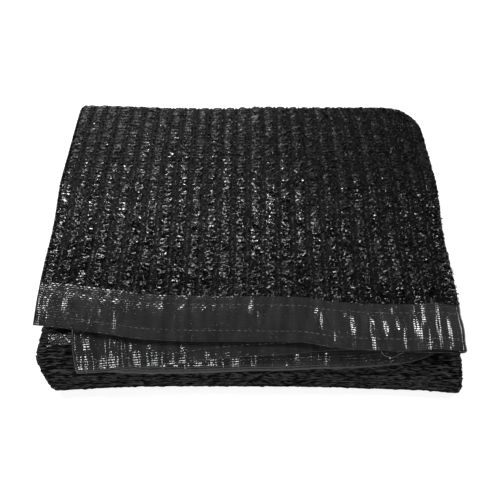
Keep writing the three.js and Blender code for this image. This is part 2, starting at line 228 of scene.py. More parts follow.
@dataclass(frozen=True)
class FoldedForm:
    """The middle surface of the folded net, as the solids have it. Sizes in mm.

    A fold's squareness is for its lower half and its upper half. The bow and the swell are read at
    x, bow_shift is in parts of the strip's thickness, and step and end_margin are in parts of a zone
    or of a leaf.
    """

    net_thickness: float = 1.6
    bound_net_thickness: float = 1.0
    tape_thickness: float = 1.0
    clearance: float = 0.3
    binding_width: float = 37.5
    stitch_inset: float = 8.0
    leaf_count: int = 6
    ply_pitch: float = 3.2
    bound_fold_radius: float = 2.2
    front_fold_y: float = 12.5
    back_fold_y: float = 290.0
    strip_end_y: float = 286.0
    lift_start_y: float = 170.0
    droop_start_y: float = 92.0
    fold_squeeze: float = 0.9
    front_squareness: Pair = (1.1, 0.0)
    back_squareness: Pair = (0.4, 0.2)
    shortest_sine: float = 0.02
    longest_fall: float = 0.26
    back_limit_y: float = 306.0
    corner_left: float = 20.0
    corner_right: float = 46.0
    corner_share: float = 0.985
    half_width: float = 165.0
    bow_reach: float = 90.0
    bow_shift: float = 0.8
    reference: Triple = (-1.6, 147.1, 0.0)
    front_bow: Table = Table(
        (-156, -145, -104, -68, 0, 45, 98, 128, 150, 160),
        (-4.4, -3.9, -1.2, -0.1, 0, -0.5, -2.4, -3.8, -6.0, -7.6),
    )
    back_swell: Table = Table(
        (-166, -120, -75, -20, 20, 50, 139, 166),
        (6, 5, 2.6, 2.4, 4.6, 3.4, 3.4, 0),
    )
    swell_start: float = 200.0
    swell_length: float = 100.0
    swell_from: float = 4.0
    swell_height: float = 60.0
    arc_samples: int = 48
    step: float = 1e-3
    end_margin: float = 1e-6

    @property
    def strip_thickness(self) -> float:
        """Six leaves lying on each other."""
        return self.leaf_count * self.ply_pitch

    @property
    def bottom_height(self) -> float:
        """Height of the middle of the bottom leg."""
        return self.net_thickness / 2 + (self.strip_thickness - self.ply_pitch) / 2

    @property
    def middle_height(self) -> float:
        """Height of the middle of the middle leg."""
        return self.bottom_height + self.strip_thickness

    @property
    def run_end(self) -> int:
        """The number of zones in the run."""
        return len(Zone)

    @property
    def across_end(self) -> int:
        """The number of leaves and side folds."""
        return 2 * self.leaf_count - 1

    def level_offset(self, level: Array) -> Array:
        """Height of a level above the middle of the strip; level 1 is leaf 1."""
        return ((self.leaf_count + 1) / 2 - level) * self.ply_pitch

    def between_leaves(self, level: Array, values: Array) -> Array:
        """A value of the leaves, for a level between two of them.

        Args:
            level: level of each point.
            values: one row of values per leaf.

        Returns:
            The value at each point.
        """
        lower = np.clip(np.floor(level), 1, self.leaf_count - 1).astype(int)
        share = level - lower
        each = np.arange(level.size)
        return values[lower - 1, each] * (1 - share) + values[lower, each] * share

    def fold_point(self, radius: Array, turn: Array, squareness: Pair) -> tuple[Array, Array]:
        """Places on a flattened fold.

        Args:
            radius: radius of each layer.
            turn: angle gone round the fold.
            squareness: how square its lower half is, and its upper half.

        Returns:
            How far each point sticks out, and how far it is below the fold's middle.
        """
        low, high = squareness
        outer = (self.leaf_count - 0.5) * self.ply_pitch
        power = 2 + np.where(np.cos(turn) > 0, low, high) * (radius / outer)
        out = radius * self.fold_squeeze * np.abs(np.sin(turn)) ** (2 / power)
        down = radius * np.sign(np.cos(turn)) * np.abs(np.cos(turn)) ** (2 / power)
        return out, down

    def droop(self, leaf: Leaf, x: Array, bound: Array, t: Array) -> Array:
        """The drooping front of one leaf, by its length.

        Args:
            leaf: the leaf.
            x: side position of each point.
            bound: whether each point is in the binding's zone.
            t: place in its zone, 0 to 1.

        Returns:
            Side-view points (y, z).
        """
        end = np.stack([leaf.edge(leaf.edge_y, x), leaf.edge(leaf.edge_z, x)], -1)
        slope = np.radians(leaf.edge(leaf.edge_slope, x))
        start = np.stack([np.full_like(x, self.droop_start_y), leaf.height + leaf.lift(x)], -1)
        length = self.droop_start_y - end[:, 0]
        drop = (start[:, 1] - end[:, 1]) / np.maximum(np.sin(slope), self.shortest_sine)
        fall = np.minimum(self.longest_fall * length, leaf.fall * drop)
        reach = start - np.stack([leaf.reach * length, np.zeros_like(x)], -1)
        approach = end + fall[:, None] * np.stack([np.cos(slope), np.sin(slope)], -1)

        def bezier(u: Array) -> Array:
            """Points of the droop's curve, for shares of its parameter."""
            u = u[..., None]
            return (
                start[:, None] * (1 - u) ** 3 + 3 * reach[:, None] * u * (1 - u) ** 2
                + 3 * approach[:, None] * u * u * (1 - u) + end[:, None] * u ** 3
            )

        marks = np.linspace(0, 1, self.arc_samples + 1)
        line = bezier(np.broadcast_to(marks, (x.size, marks.size)))
        steps = np.linalg.norm(np.diff(line, axis=1), axis=2)
        gone = np.concatenate([np.zeros((x.size, 1)), np.cumsum(steps, axis=1)], axis=1)
        free = gone[:, -1] - self.binding_width
        target = np.clip(np.where(bound, free + self.binding_width * t, free * t), 0, gone[:, -1])
        k = np.clip((gone <= target[:, None]).sum(1) - 1, 0, self.arc_samples - 1)
        each = np.arange(x.size)
        u = (k + (target - gone[each, k]) / steps[each, k]) / self.arc_samples
        return bezier(u[:, None])[:, 0]

    def side_view(self, zone: Array, level: Array, x: Array, t: Array) -> Array:
        """Side-view places of points.

        Args:
            zone: number of the zone that each point is in.
            level: level of each point.
            x: side position of each point.
            t: place in its zone, 0 to 1.

        Returns:
            Points (y, z) in mm.
        """
        offset = self.level_offset(level)
        inner, outer = self.strip_thickness / 2 - offset, self.strip_thickness / 2 + offset
        turn = np.pi * np.clip(t, 0, 1)
        front_out, front_down = self.fold_point(inner, turn, self.front_squareness)
        back_out, back_down = self.fold_point(outer, turn, self.back_squareness)
        heights = np.repeat(np.array([[leaf.height] for leaf in LEAVES]), x.size, 1)
        low, high = self.middle_height - offset, self.between_leaves(level, heights)
        top_y = self.back_fold_y + (self.droop_start_y - self.back_fold_y) * t
        lift = self.between_leaves(level, np.stack([leaf.lift(x) for leaf in LEAVES]))
        lifted = ease((self.lift_start_y - top_y) / (self.lift_start_y - self.droop_start_y))
        lying = {
            Zone.BOTTOM: (
                self.strip_end_y + (self.front_fold_y - self.strip_end_y) * t,
                self.bottom_height + offset,
            ),
            Zone.FRONT_FOLD: (
                self.front_fold_y - front_out,
                (self.bottom_height + self.middle_height) / 2 - front_down,
            ),
            Zone.MIDDLE: (self.front_fold_y + (self.back_fold_y - self.front_fold_y) * t, low),
            Zone.BACK_FOLD: (
                self.back_fold_y + back_out,
                (low + high) / 2 - back_down / outer * (high - low) / 2,
            ),
            Zone.TOP: (top_y, high + lift * lifted),
        }
        yz = np.zeros((x.size, 2))
        for which, places in lying.items():
            here = zone == which.value
            yz[here] = np.stack(places, -1)[here]
        for lower in range(1, self.leaf_count):
            between = np.clip(np.floor(level), 1, self.leaf_count - 1) == lower
            hangs = np.flatnonzero((zone >= Zone.DROOP.value) & between)
            if hangs.size:
                bound, share = zone[hangs] == Zone.BOUND.value, (level[hangs] - lower)[:, None]
                above = self.droop(LEAVES[lower - 1], x[hangs], bound, t[hangs])
                below = self.droop(LEAVES[lower], x[hangs], bound, t[hangs])
                yz[hangs] = above * (1 - share) + below * share
        return yz

    def pleated(self, across: Array, zone: Array, t: Array) -> tuple[Array, Array]:
        """Places of points across the pleated strip.

        Args:
            across: counts leaves and side folds in turn, 0 to 11.
            zone: number of the zone that each point is in.
            t: place in its zone, 0 to 1.

        Returns:
            Side position in mm, and level, which is a leaf's number or, on a side fold, between two.
        """
        tips = np.stack([side(STATIONS[zone] + np.diff(STATIONS)[zone] * t) for side in SIDE_PLACES])
        piece = np.clip(np.floor(across), 0, self.across_end - 1).astype(int)
        share = across - piece
        leaf = piece // 2 + 1
        right = np.where(leaf % 2 == 1, 1, -1)
        radius = np.full(across.size, self.ply_pitch / 2)
        wider = self.bound_fold_radius - self.ply_pitch / 2
        radius += wider * np.where(zone == Zone.DROOP.value, ease(t), zone == Zone.BOUND.value)
        each = np.arange(across.size)
        start = tips[leaf - 1, each] + np.where(leaf == 1, 0, right * radius)
        end = tips[leaf, each] - np.where(leaf == self.leaf_count, 0, right * radius)
        flat = piece % 2 == 0
        x = np.where(flat, start + (end - start) * share, end + right * radius * np.sin(np.pi * share))
        return x, np.where(flat, leaf, leaf + (1 - np.cos(np.pi * share)) / 2)

    def settled(self, zone: Array, x: Array, y: Array, z: Array) -> Array:
        """Gives the evenly folded net the bow of its front, its back corners and the swell of its back.

        Args:
            zone: number of the zone that each point is in.
            x: side position of each point.
            y: its place from front to back.
            z: its height.

        Returns:
            Points in mm.
        """
        away = (y - self.front_fold_y + self.strip_thickness * self.bow_shift) / self.bow_reach
        y = y + np.where(zone <= Zone.MIDDLE.value, self.front_bow(x) * bell(away), 0)
        corner = np.where(x > 0, self.corner_right, self.corner_left)
        into = np.clip(y - (self.back_limit_y - corner), 0, corner * self.corner_share)
        cut = corner - np.sqrt(corner * corner - into * into)
        swell = self.back_swell(x) * ease((y - self.swell_start) / self.swell_length)
        return np.stack([
            x - np.sign(x) * cut * (x / self.half_width) ** 2,
            y,
            z + swell * (np.maximum(z - self.swell_from, 0) / self.swell_height) ** 2,
        ], -1)

    def points(self, across: Array, run: Array) -> Array:
        """Points of the middle surface.

        Args:
            across: counts leaves and side folds in turn, 0 to 11.
            run: counts zones, 0 to 7.

        Returns:
            Points in mm, before the reference point is taken off.
        """
        across, run = np.broadcast_arrays(np.asarray(across, float), np.asarray(run, float))
        shape = across.shape
        across, run = across.ravel(), run.ravel()
        zone = np.clip(np.floor(run), 0, self.run_end - 1).astype(int)
        t = run - zone
        x, level = self.pleated(across, zone, t)
        y, z = self.side_view(zone, level, x, t).T
        return self.settled(zone, x, y, z).reshape(shape + (3,))

    def normals(self, across: Array, run: Array) -> Array:
        """Directions square to the net, from two short steps along it each way.

        Args:
            across: counts leaves and side folds in turn, 0 to 11.
            run: counts zones, 0 to 7.

        Returns:
            Vectors with a length of one.
        """
        def stepped(value: Array, end: float, way: int) -> Array:
            """Places a short step on, which stay inside the net."""
            return np.clip(value + way * self.step, 0, end - self.end_margin)

        across, run = np.broadcast_arrays(np.asarray(across, float), np.asarray(run, float))
        right, left = (self.points(stepped(across, self.across_end, way), run) for way in (1, -1))
        front, back = (self.points(across, stepped(run, self.run_end, way)) for way in (1, -1))
        return unit(np.cross(right - left, front - back))

    def sampled(self, across: Array, run: Array) -> tuple[Array, Array]:
        """Points of the middle surface and its normals, over a grid of these places."""
        grid = np.meshgrid(across, run, indexing="ij")
        return self.points(*grid), self.normals(*grid)

    def stations(self, leaf_steps: tuple[int, ...], fold_steps: int) -> Array:
        """Places of a surface's columns, through the leaves and side folds in turn.

        Args:
            leaf_steps: number of steps across each leaf.
            fold_steps: number of steps round each side fold.

        Returns:
            The places, counted in leaves and side folds.
        """
        places: list[Array] = []
        for leaf, steps in enumerate(leaf_steps):
            places.append(2 * leaf + np.arange(steps) / steps)
            if leaf < self.leaf_count - 1:
                places.append(2 * leaf + 1 + np.arange(fold_steps) / fold_steps)
        return np.concatenate([*places, [self.across_end]])

    def to_frame(self, points: Array) -> Array:
        """The same points in the part's own frame, in metres."""
        return (points - np.array(self.reference)) * MM


@dataclass
class Patch:
    """An open stretch of one face of the net, laid out flat: u runs across it and v along the strip.

    Pieces are shaped in flat millimetres (u, v, height above the face) and then laid on the net. lift
    is the face's height over the middle surface, and nothing comes nearer the floor than floor_gap.
    """

    form: FoldedForm
    face: Face
    across: Pair
    run: Pair
    lift: float
    columns: int
    rows: int
    floor_gap: float = 0.05
    width: float = field(init=False, default=0.0)
    length: float = field(init=False, default=0.0)

    def __post_init__(self) -> None:
        """Samples the surface once."""
        across, run = np.linspace(*self.across, self.columns), np.linspace(*self.run, self.rows)
        self._points, normals = self.form.sampled(across, run)
        self._normals = normals * self.face.value
        self._u = lengths(self._points[:, self.rows // 2])
        self._v = lengths(self._points[self.columns // 2])
        self.width, self.length = float(self._u[-1]), float(self._v[-1])

    def lay(self, flat: Array) -> Array:
        """Lays flat points on the net.

        Args:
            flat: (u, v, height) in mm, the last axis of any array.

        Returns:
            Points in the part's frame, in metres.
        """
        shape = flat.shape
        flat = flat.reshape(-1, 3)
        i = np.interp(flat[:, 0], self._u, np.arange(self.columns))
        j = np.interp(flat[:, 1], self._v, np.arange(self.rows))
        i0 = np.clip(np.floor(i), 0, self.columns - 2).astype(int)
        j0 = np.clip(np.floor(j), 0, self.rows - 2).astype(int)
        fi, fj = (i - i0)[:, None], (j - j0)[:, None]

        def mixed(grid: Array) -> Array:
            """The grid's values between its four nearest nodes."""
            near = grid[i0, j0] * (1 - fj) + grid[i0, j0 + 1] * fj
            far = grid[i0 + 1, j0] * (1 - fj) + grid[i0 + 1, j0 + 1] * fj
            return near * (1 - fi) + far * fi

        made = mixed(self._points) + unit(mixed(self._normals)) * (flat[:, 2:] + self.lift)
        laid = self.form.to_frame(made)
        laid[:, 2] = np.maximum(laid[:, 2], self.floor_gap * MM)
        return laid.reshape(shape)

# Meshes

def link_mesh(name: str, points: Array, faces: Array, smooth: bool,
              uv: Array | None = None) -> bpy.types.Object:
    """Makes an object from points and quads, with its faces turned outwards.

    Args:
        name: the piece's name.
        points: vertices in metres.
        faces: rows of four vertex numbers; a triangle repeats its last one.
        smooth: whether it is shaded smooth.
        uv: a place on the cloth for each vertex, in metres.

    Returns:
        The new object, at the origin.
    """
    mesh = bpy.data.meshes.new(name)
    rows = [tuple(dict.fromkeys(row)) for row in faces.tolist()]
    mesh.from_pydata(points.tolist(), [], rows)
    if uv is not None:
        corners = np.empty(len(mesh.loops), np.int32)
        mesh.loops.foreach_get("vertex_index", corners)
        layer = mesh.uv_layers.new(name="cloth")
        layer.data.foreach_set("uv", uv[corners].astype(np.float32).ravel())
    shell = bmesh.new()
    shell.from_mesh(mesh)
    bmesh.ops.recalc_face_normals(shell, faces=shell.faces)
    shell.to_mesh(mesh)
    shell.free()
    mesh.polygons.foreach_set("use_smooth", [smooth] * len(mesh.polygons))
    mesh.validate()
    piece = bpy.data.objects.new(name, mesh)
    bpy.context.scene.collection.objects.link(piece)
    return piece


def ring_faces(strips: int, rings: int, size: int) -> Array:
    """Quads round many closed strips, and flat caps on their ends.

    Args:
        strips: number of strips.
        rings: rings along each strip.
        size: points round each ring, an even number.

    Returns:
        Rows of four vertex numbers.
    """
    ring = np.arange(rings - 1)[:, None] * size
    here, there = np.arange(size), (np.arange(size) + 1) % size
    corners = (ring + here, ring + there, ring + size + there, ring + size + here)
    wall = np.stack(np.broadcast_arrays(*corners), -1).reshape(-1, 4)
    cap = np.array([[i, i + 1, size - 2 - i, size - 1 - i] for i in range(size // 2 - 1)])
    one = np.concatenate([wall, cap, cap + (rings - 1) * size])
    return (np.arange(strips)[:, None, None] * rings * size + one).reshape(-1, 4)


def cloth_places(u: Array, v: Array) -> Array:
    """Places on the cloth of a grid of vertices, in metres, from millimetres across it and along it."""
    return np.stack(np.broadcast_arrays(u[:, None], v[None, :]), -1).reshape(-1, 2) * MM


@dataclass(frozen=True)
class TapePath:
    """Flat tape yarn along many centre lines, in the flat cloth's millimetres.

    crest holds the heights of the two creases that the film is crumpled into, and crease_place says
    how far from the centre they run, as a share of half the width.
    """

    centre: Array
    roll: Array
    width: Array
    crest: Array
    thickness: float
    crease_place: float = 0.45

    def shell(self) -> tuple[Array, Array]:
        """The tapes' closed shells.

        Returns:
            Flat points, and quads.
        """
        tangent = unit(np.gradient(self.centre, axis=1))
        aside = np.cross(np.array([0.0, 0.0, 1.0]), tangent)
        upright = np.linalg.norm(aside, axis=2, keepdims=True) < UPRIGHT
        aside = unit(np.where(upright, [1.0, 0.0, 0.0], aside))
        above = np.cross(tangent, aside)
        cos, sin = np.cos(self.roll)[..., None], np.sin(self.roll)[..., None]
        wide, tall = aside * cos + above * sin, above * cos - aside * sin
        edge = wide * (self.width[..., None] / 2)
        crease = edge * self.crease_place
        left, right = self.crest[..., :1], self.crest[..., 1:]
        rings = np.stack([
            self.centre - edge,
            self.centre - crease + tall * left,
            self.centre + crease + tall * right,
            self.centre + edge,
            self.centre + crease + tall * (right - self.thickness),
            self.centre - crease + tall * (left - self.thickness),
        ], 2)
        return rings.reshape(-1, 3), ring_faces(*rings.shape[:3])


# Shading

class Value:
    """A shader socket with the usual arithmetic; each operation adds one Math node."""

    def __init__(self, shader: "Shader", socket: bpy.types.NodeSocket) -> None:
        """Wraps a socket of a shader."""
        self.shader = shader
        self.socket = socket

    def _math(self, operation: str, *values: "Value | float") -> "Value":
        """Adds a Math node on these values."""
        return self.shader.value("ShaderNodeMath", {"operation": operation}, dict(enumerate(values)))

    def __add__(self, other: "Value | float") -> "Value":
        """The sum."""
        return self._math("ADD", self, other)

    def __sub__(self, other: "Value | float") -> "Value":
        """The difference."""
        return self._math("SUBTRACT", self, other)

    def __rsub__(self, other: float) -> "Value":
        """A number less this value."""
        return self._math("SUBTRACT", other, self)

    def __mul__(self, other: "Value | float") -> "Value":
        """The product."""
        return self._math("MULTIPLY", self, other)

    def __truediv__(self, other: "Value | float") -> "Value":
        """The quotient."""
        return self._math("DIVIDE", self, other)

    def __rtruediv__(self, other: float) -> "Value":
        """A number by this value."""
        return self._math("DIVIDE", other, self)

    __radd__ = __add__
    __rmul__ = __mul__

    def floor(self) -> "Value":
        """The whole number below."""
        return self._math("FLOOR", self)

    def fraction(self) -> "Value":
        """What is left above the whole number."""
        return self._math("FRACT", self)

    def remainder(self, by: float) -> "Value":
        """The remainder, never negative."""
        return self._math("FLOORED_MODULO", self, by)

    def sine(self) -> "Value":
        """The sine."""
        return self._math("SINE", self)

    def above(self, limit: float) -> "Value":
        """1 where it is above the limit, or else 0."""
        return self._math("GREATER_THAN", self, limit)

    def stepped(self, low: float, high: float) -> "Value":
        """A smooth step from 0 at low to 1 at high."""
        sockets = {"Value": self, "From Min": low, "From Max": high}
        return self.shader.value("ShaderNodeMapRange", {"interpolation_type": "SMOOTHSTEP"}, sockets)


class Shader:
    """A material's node tree with a Principled shader."""

    def __init__(self, name: str) -> None:
        """Starts a material of this name."""
        self.material = bpy.data.materials.new(name)
        self.material.use_nodes = True
        self.tree = self.material.node_tree

    def node(self, kind: str, settings: dict[str, Any], sockets: dict[Any, Any]) -> bpy.types.Node:
        """Adds a node.

        Args:
            kind: Blender's name of the node's type.
            settings: the node's own properties, set first.
            sockets: a value or a link for each input, by name or number.

        Returns:
            The node.
        """
        made = self.tree.nodes.new(kind)
        for key, value in settings.items():
            setattr(made, key, value)
        self.feed(made, sockets)
        return made

    def feed(self, node: bpy.types.Node, sockets: dict[Any, Any]) -> None:
        """Sets or links a node's inputs.

        Args:
            node: the node.
            sockets: a value or a link for each input, by name or number.
        """
        for key, value in sockets.items():
            value = getattr(value, "socket", value)
            if isinstance(value, bpy.types.NodeSocket):
                self.tree.links.new(value, node.inputs[key])
            else:
                node.inputs[key].default_value = value

    def value(self, kind: str, settings: dict[str, Any], sockets: dict[Any, Any]) -> Value:
        """Adds a node and returns its first output as a value."""
        return Value(self, self.node(kind, settings, sockets).outputs[0])

    def place(self) -> bpy.types.NodeSocket:
        """Object coordinates."""
        return self.node("ShaderNodeTexCoord", {}, {}).outputs["Object"]

    def cloth(self) -> tuple[Value, Value]:
        """Place on the cloth in metres: across it, and along it."""
        uv = self.node("ShaderNodeUVMap", {"uv_map": "cloth"}, {}).outputs["UV"]
        parts = self.node("ShaderNodeSeparateXYZ", {}, {0: uv})
        return Value(self, parts.outputs["X"]), Value(self, parts.outputs["Y"])

    def vector(self, x: Value, y: Value) -> bpy.types.NodeSocket:
        """Two values as one vector."""
        return self.node("ShaderNodeCombineXYZ", {}, {0: x, 1: y}).outputs[0]

    def noise(self, at: bpy.types.NodeSocket, scale: float, detail: float = 3.0) -> Value:
        """Cloudy noise, about 0.2 to 0.8."""
        return self.value("ShaderNodeTexNoise", {}, {"Vector": at, "Scale": scale, "Detail": detail})

    def chance(self, at: bpy.types.NodeSocket) -> Value:
        """A number from 0 to 1 for each whole place."""
        return self.value("ShaderNodeTexWhiteNoise", {"noise_dimensions": "2D"}, {"Vector": at})

    def colour(self, share: Value, low: Triple, high: Triple) -> bpy.types.NodeSocket:
        """A colour between two; 6 and 7 are the Mix node's colours and 2 is its mixed one."""
        sockets = {"Factor": share, 6: (*low, 1.0), 7: (*high, 1.0)}
        return self.node("ShaderNodeMix", {"data_type": "RGBA"}, sockets).outputs[2]

    def bump(self, height: Value, distance: float, strength: float = 1.0) -> bpy.types.NodeSocket:
        """A bumped normal, with the height's distance in metres."""
        sockets = {"Height": height, "Distance": distance, "Strength": strength}
        return self.node("ShaderNodeBump", {}, sockets).outputs["Normal"]

    def finish(self, **sockets: Any) -> bpy.types.Material:
        """Feeds the Principled shader, spaces written as underscores, and returns the material."""
        named = {key.replace("_", " "): value for key, value in sockets.items()}
        self.feed(self.tree.nodes["Principled BSDF"], named)
        return self.material


@dataclass(frozen=True)
class GroundFinish:
    """The net's ground: dark, matt, with the knit's fine relief. Metres.

    The relief is the crumple, with a share of the courses' ribs and of the wales' columns. The
    crumple also lightens the colour over the contrast's range, and adds to the roughness.
    """

    name: str = "net ground"
    dark: Triple = (0.0006, 0.0006, 0.0007)
    light: Triple = (0.002, 0.002, 0.0021)
    contrast: Pair = (0.35, 0.7)
    wale: float = 0.0127
    wale_share: float = 0.15
    course: float = 0.0023
    course_share: float = 0.25
    crumple_scale: float = 420.0
    relief: float = 0.0006
    roughness: float = 0.45
    rougher: float = 0.3
    shine: float = 0.04

    def material(self) -> bpy.types.Material:
        """The finished material."""
        shader = Shader(self.name)
        u, v = shader.cloth()
        ribs = (v * (2 * math.pi / self.course)).sine()
        crumple = shader.noise(shader.place(), self.crumple_scale)
        columns = (u * (2 * math.pi / self.wale)).sine()
        height = ribs * self.course_share + crumple + columns * self.wale_share
        return shader.finish(
            Base_Color=shader.colour(crumple.stepped(*self.contrast), self.dark, self.light),
            Roughness=self.roughness + crumple * self.rougher,
            Specular_IOR_Level=self.shine,
            Normal=shader.bump(height, self.relief),
        )


@dataclass(frozen=True)
class TapeYarnFinish:
    """Glossy black film tape, crumpled. Metres.

    Clouds lighten its colour over the contrast's range, and dull its gloss over the dulling's range. On
    the taut yarn the lighter clouds are painted sheen, streaks that stand in for highlights. patches is
    their scale, and stretch draws them out along X.
    """

    name: str
    dark: Triple
    light: Triple
    gloss: float
    dull: float
    shine: float
    patches: float = 60.0
    stretch: float = 1.0
    contrast: Pair = (0.35, 0.65)
    dulling: Pair = (0.3, 0.7)
    crease_scale: float = 1000.0
    crease_depth: float = 0.0003
    crease_strength: float = 0.6

    def material(self) -> bpy.types.Material:
        """The finished material."""
        shader = Shader(self.name)
        place = shader.place()
        stretched = {"Vector": place, "Scale": (1 / self.stretch, 1, 1)}
        drawn_out = shader.node("ShaderNodeMapping", {}, stretched)
        cloud = shader.noise(drawn_out.outputs[0], self.patches)
        crease = shader.noise(place, self.crease_scale)
        return shader.finish(
            Base_Color=shader.colour(cloud.stepped(*self.contrast), self.dark, self.light),
            Roughness=self.gloss + (self.dull - self.gloss) * cloud.stepped(*self.dulling),
            Specular_IOR_Level=self.shine,
            Normal=shader.bump(crease, self.crease_depth, self.crease_strength),
        )


class YarnFinish(Enum):
    """The finishes of the net's own tape yarn."""

    GLOSSY = TapeYarnFinish(
        "tape yarn", (0.0012, 0.0012, 0.0013), (0.004, 0.004, 0.0042), gloss=0.15, dull=0.3, shine=0.45)
    CHAIN = TapeYarnFinish(
        "chain yarn", (0.0008, 0.0008, 0.0009), (0.002, 0.002, 0.0021), gloss=0.35, dull=0.5, shine=0.25)
    DULL = TapeYarnFinish(
        "dull yarn", (0.001, 0.001, 0.0011), (0.004, 0.004, 0.0042), gloss=0.35, dull=0.5, shine=0.072)
    # Taut yarn: its light colour is painted sheen, pale streaks drawn out along X that stand in for
    # highlights on the black film. Its shine is kept low.
    TAUT_PAINTED_SHEEN = TapeYarnFinish(
        "taut yarn with painted sheen", (0.0006, 0.0006, 0.0007), (0.045, 0.045, 0.046), gloss=0.4, dull=0.6, shine=0.02,
        patches=700.0, stretch=4.0)
    CRUMPLED = TapeYarnFinish(
        "crumpled tape", (0.006, 0.006, 0.0062), (0.02, 0.02, 0.0205), gloss=0.12, dull=0.25, shine=1.2)

    def material(self) -> bpy.types.Material:
        """The finish's material, made once."""
        return bpy.data.materials.get(self.value.name) or self.value.material()


@dataclass(frozen=True)
class WovenTapeFinish:
    """The binding's woven tape: ribs along the edge, crossed in plain weave. Metres.

    A rib that goes under has under times the height of one that goes over; cross_share and
    tilt_share weigh the crossing threads and their random tilt, and clouds gives its clouds' scale
    across and along the tape.
    """

    name: str = "woven binding tape"
    dark: Triple = (0.011, 0.011, 0.0115)
    light: Triple = (0.018, 0.018, 0.0185)
    contrast: Pair = (0.3, 0.7)
    rib: float = 0.0019
    cross: float = 0.0018
    relief: float = 0.00014
    under: float = 0.82
    cross_share: float = 0.16
    tilt_share: float = 0.4
    clouds: Pair = (160.0, 40.0)
    gloss: float = 0.085
    rougher: float = 0.05
    shine: float = 0.4

    def material(self) -> bpy.types.Material:
        """The finished material."""
        shader = Shader(self.name)
        u, v = shader.cloth()
        a, b = u / self.cross, v / self.rib
        over = (a.floor() + b.floor()).remainder(2.0).above(0.5)
        lean = shader.chance(shader.vector(a.floor(), b.floor()))
        rib = (b.fraction() * math.pi).sine()
        cross = (a.fraction() * math.pi).sine()
        weave = rib * (self.under + (1 - self.under) * over) + cross * self.cross_share
        tilt = (lean - 0.5) * (a.fraction() + b.fraction() - 1.0)
        cloud = shader.noise(shader.vector(u * self.clouds[0], v * self.clouds[1]), 1.0)
        return shader.finish(
            Base_Color=shader.colour(cloud.stepped(*self.contrast), self.dark, self.light),
            Roughness=self.gloss + self.rougher * cloud,
            Specular_IOR_Level=self.shine,
            Normal=shader.bump(weave + tilt * self.tilt_share, self.relief),
        )


@dataclass(frozen=True)
class ThreadFinish:
    """Light grey sewing thread. Metres."""

    name: str = "stitching thread"
    dark: Triple = (0.05, 0.05, 0.052)
    light: Triple = (0.18, 0.18, 0.19)
    contrast: Pair = (0.35, 0.65)
    clouds: float = 90.0
    roughness: float = 0.4
    rougher: float = 0.2
    ply_scale: float = 6000.0
    ply_detail: float = 1.0
    ply_depth: float = 0.0001

    def material(self) -> bpy.types.Material:
        """The finished material."""
        shader = Shader(self.name)
        place = shader.place()
        cloud = shader.noise(place, self.clouds)
        ply = shader.noise(place, self.ply_scale, self.ply_detail)
        return shader.finish(
            Base_Color=shader.colour(cloud.stepped(*self.contrast), self.dark, self.light),
            Roughness=self.roughness + cloud * self.rougher,
            Normal=shader.bump(ply, self.ply_depth),
        )


@dataclass(frozen=True)
class FloorFinish:
    """A plain pale floor."""

    name: str = "pale floor"
    shade: Triple = (0.28, 0.28, 0.28)
    roughness: float = 0.7
    glow: float = 0.86

    def material(self) -> bpy.types.Material:
        """The finished material."""
        return Shader(self.name).finish(
            Base_Color=(*self.shade, 1.0),
            Roughness=self.roughness,
            Emission_Color=(1.0, 1.0, 1.0, 1.0),
            Emission_Strength=self.glow,
        )


def dress(piece: bpy.types.Object, material: bpy.types.Material) -> None:
    """Gives a piece its material and its body.

    Args:
        piece: the piece.
        material: its finish.
    """
    piece.data.materials.append(material)
    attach(piece, BODY)


def report(piece: bpy.types.Object) -> None:
    """Logs a finished piece and its number of triangles."""
    triangles = sum(len(p.vertices) - 2 for p in piece.data.polygons)
    LOG.info("%s: %d triangles", piece.name, triangles)


# Pieces

@dataclass
class NetCloth:
    """The net itself: one folded sheet in the form of its solid, with a finer surface.

    The places on the cloth are measured along one row and one column of the surface. The net starts
    to thin before the binding, by pinch_share of the droop's zone. flat_size is in metres.
    """

    form: FoldedForm
    leaf_steps: tuple[int, ...] = (70, 24, 24, 20, 20, 60)
    fold_steps: int = 8
    run_steps: tuple[int, ...] = (10, 16, 16, 16, 40, 20, 8)
    measured_row: int = 60
    measured_column: int = 40
    pinch_share: float = 0.03
    flat_size: Pair = (1.87, 0.87)

    def rows(self) -> tuple[Array, Array]:
        """The surface's rows along the strip; the net thins inside the binding.

        Returns:
            Run of each row, and half its thickness.
        """
        form, bound = self.form, Zone.BOUND.value
        runs = [zone + np.arange(self.run_steps[zone]) / self.run_steps[zone] for zone in range(bound)]
        net_end = 1 - (form.tape_thickness + form.clearance) / form.binding_width
        inside = bound + net_end * np.linspace(0, 1, self.run_steps[bound] + 1)
        loose = np.concatenate([*runs, [bound - self.pinch_share]])
        thickness = np.repeat([form.net_thickness, form.bound_net_thickness], [loose.size, inside.size])
        return np.concatenate([loose, inside]), thickness / 2

    def build(self) -> bpy.types.Object:
        """Makes the folded sheet, closed all round."""
        run, half = self.rows()
        middle, normal = self.form.sampled(self.form.stations(self.leaf_steps, self.fold_steps), run)
        offset = normal * half[None, :, None]
        rings = np.concatenate([middle + offset, (middle - offset)[:, ::-1]], 1)
        columns, size = rings.shape[:2]
        u, v = lengths(middle[:, self.measured_row]), lengths(middle[self.measured_column])
        uv = cloth_places(u, np.concatenate([v, v[::-1]]))
        points = self.form.to_frame(rings).reshape(-1, 3)
        return link_mesh("net_sheet", points, ring_faces(1, columns, size), True, uv)

    def dress(self, piece: bpy.types.Object, with_pieces: list[bpy.types.Object]) -> None:
        """Finishes the sheet, which stands for the net's solid.

        Args:
            piece: the sheet.
            with_pieces: the pieces that lie on it or are sewn to it; not used.
        """
        dress(piece, GroundFinish().material())
        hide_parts(NET_NODE)


@dataclass(frozen=True)
class Yarn:
    """A kind of tape yarn on a knitted face. Its sizes are in mm and its turns in radians.

    A spread is the lowest and highest factor or value that a tape may have, and a jitter is the
    usual size of a random step.
    """

    name: str
    finish: YarnFinish

    def path(self, knit: "KnitFace") -> TapePath:
        """The yarn's way over the flat face."""
        raise NotImplementedError


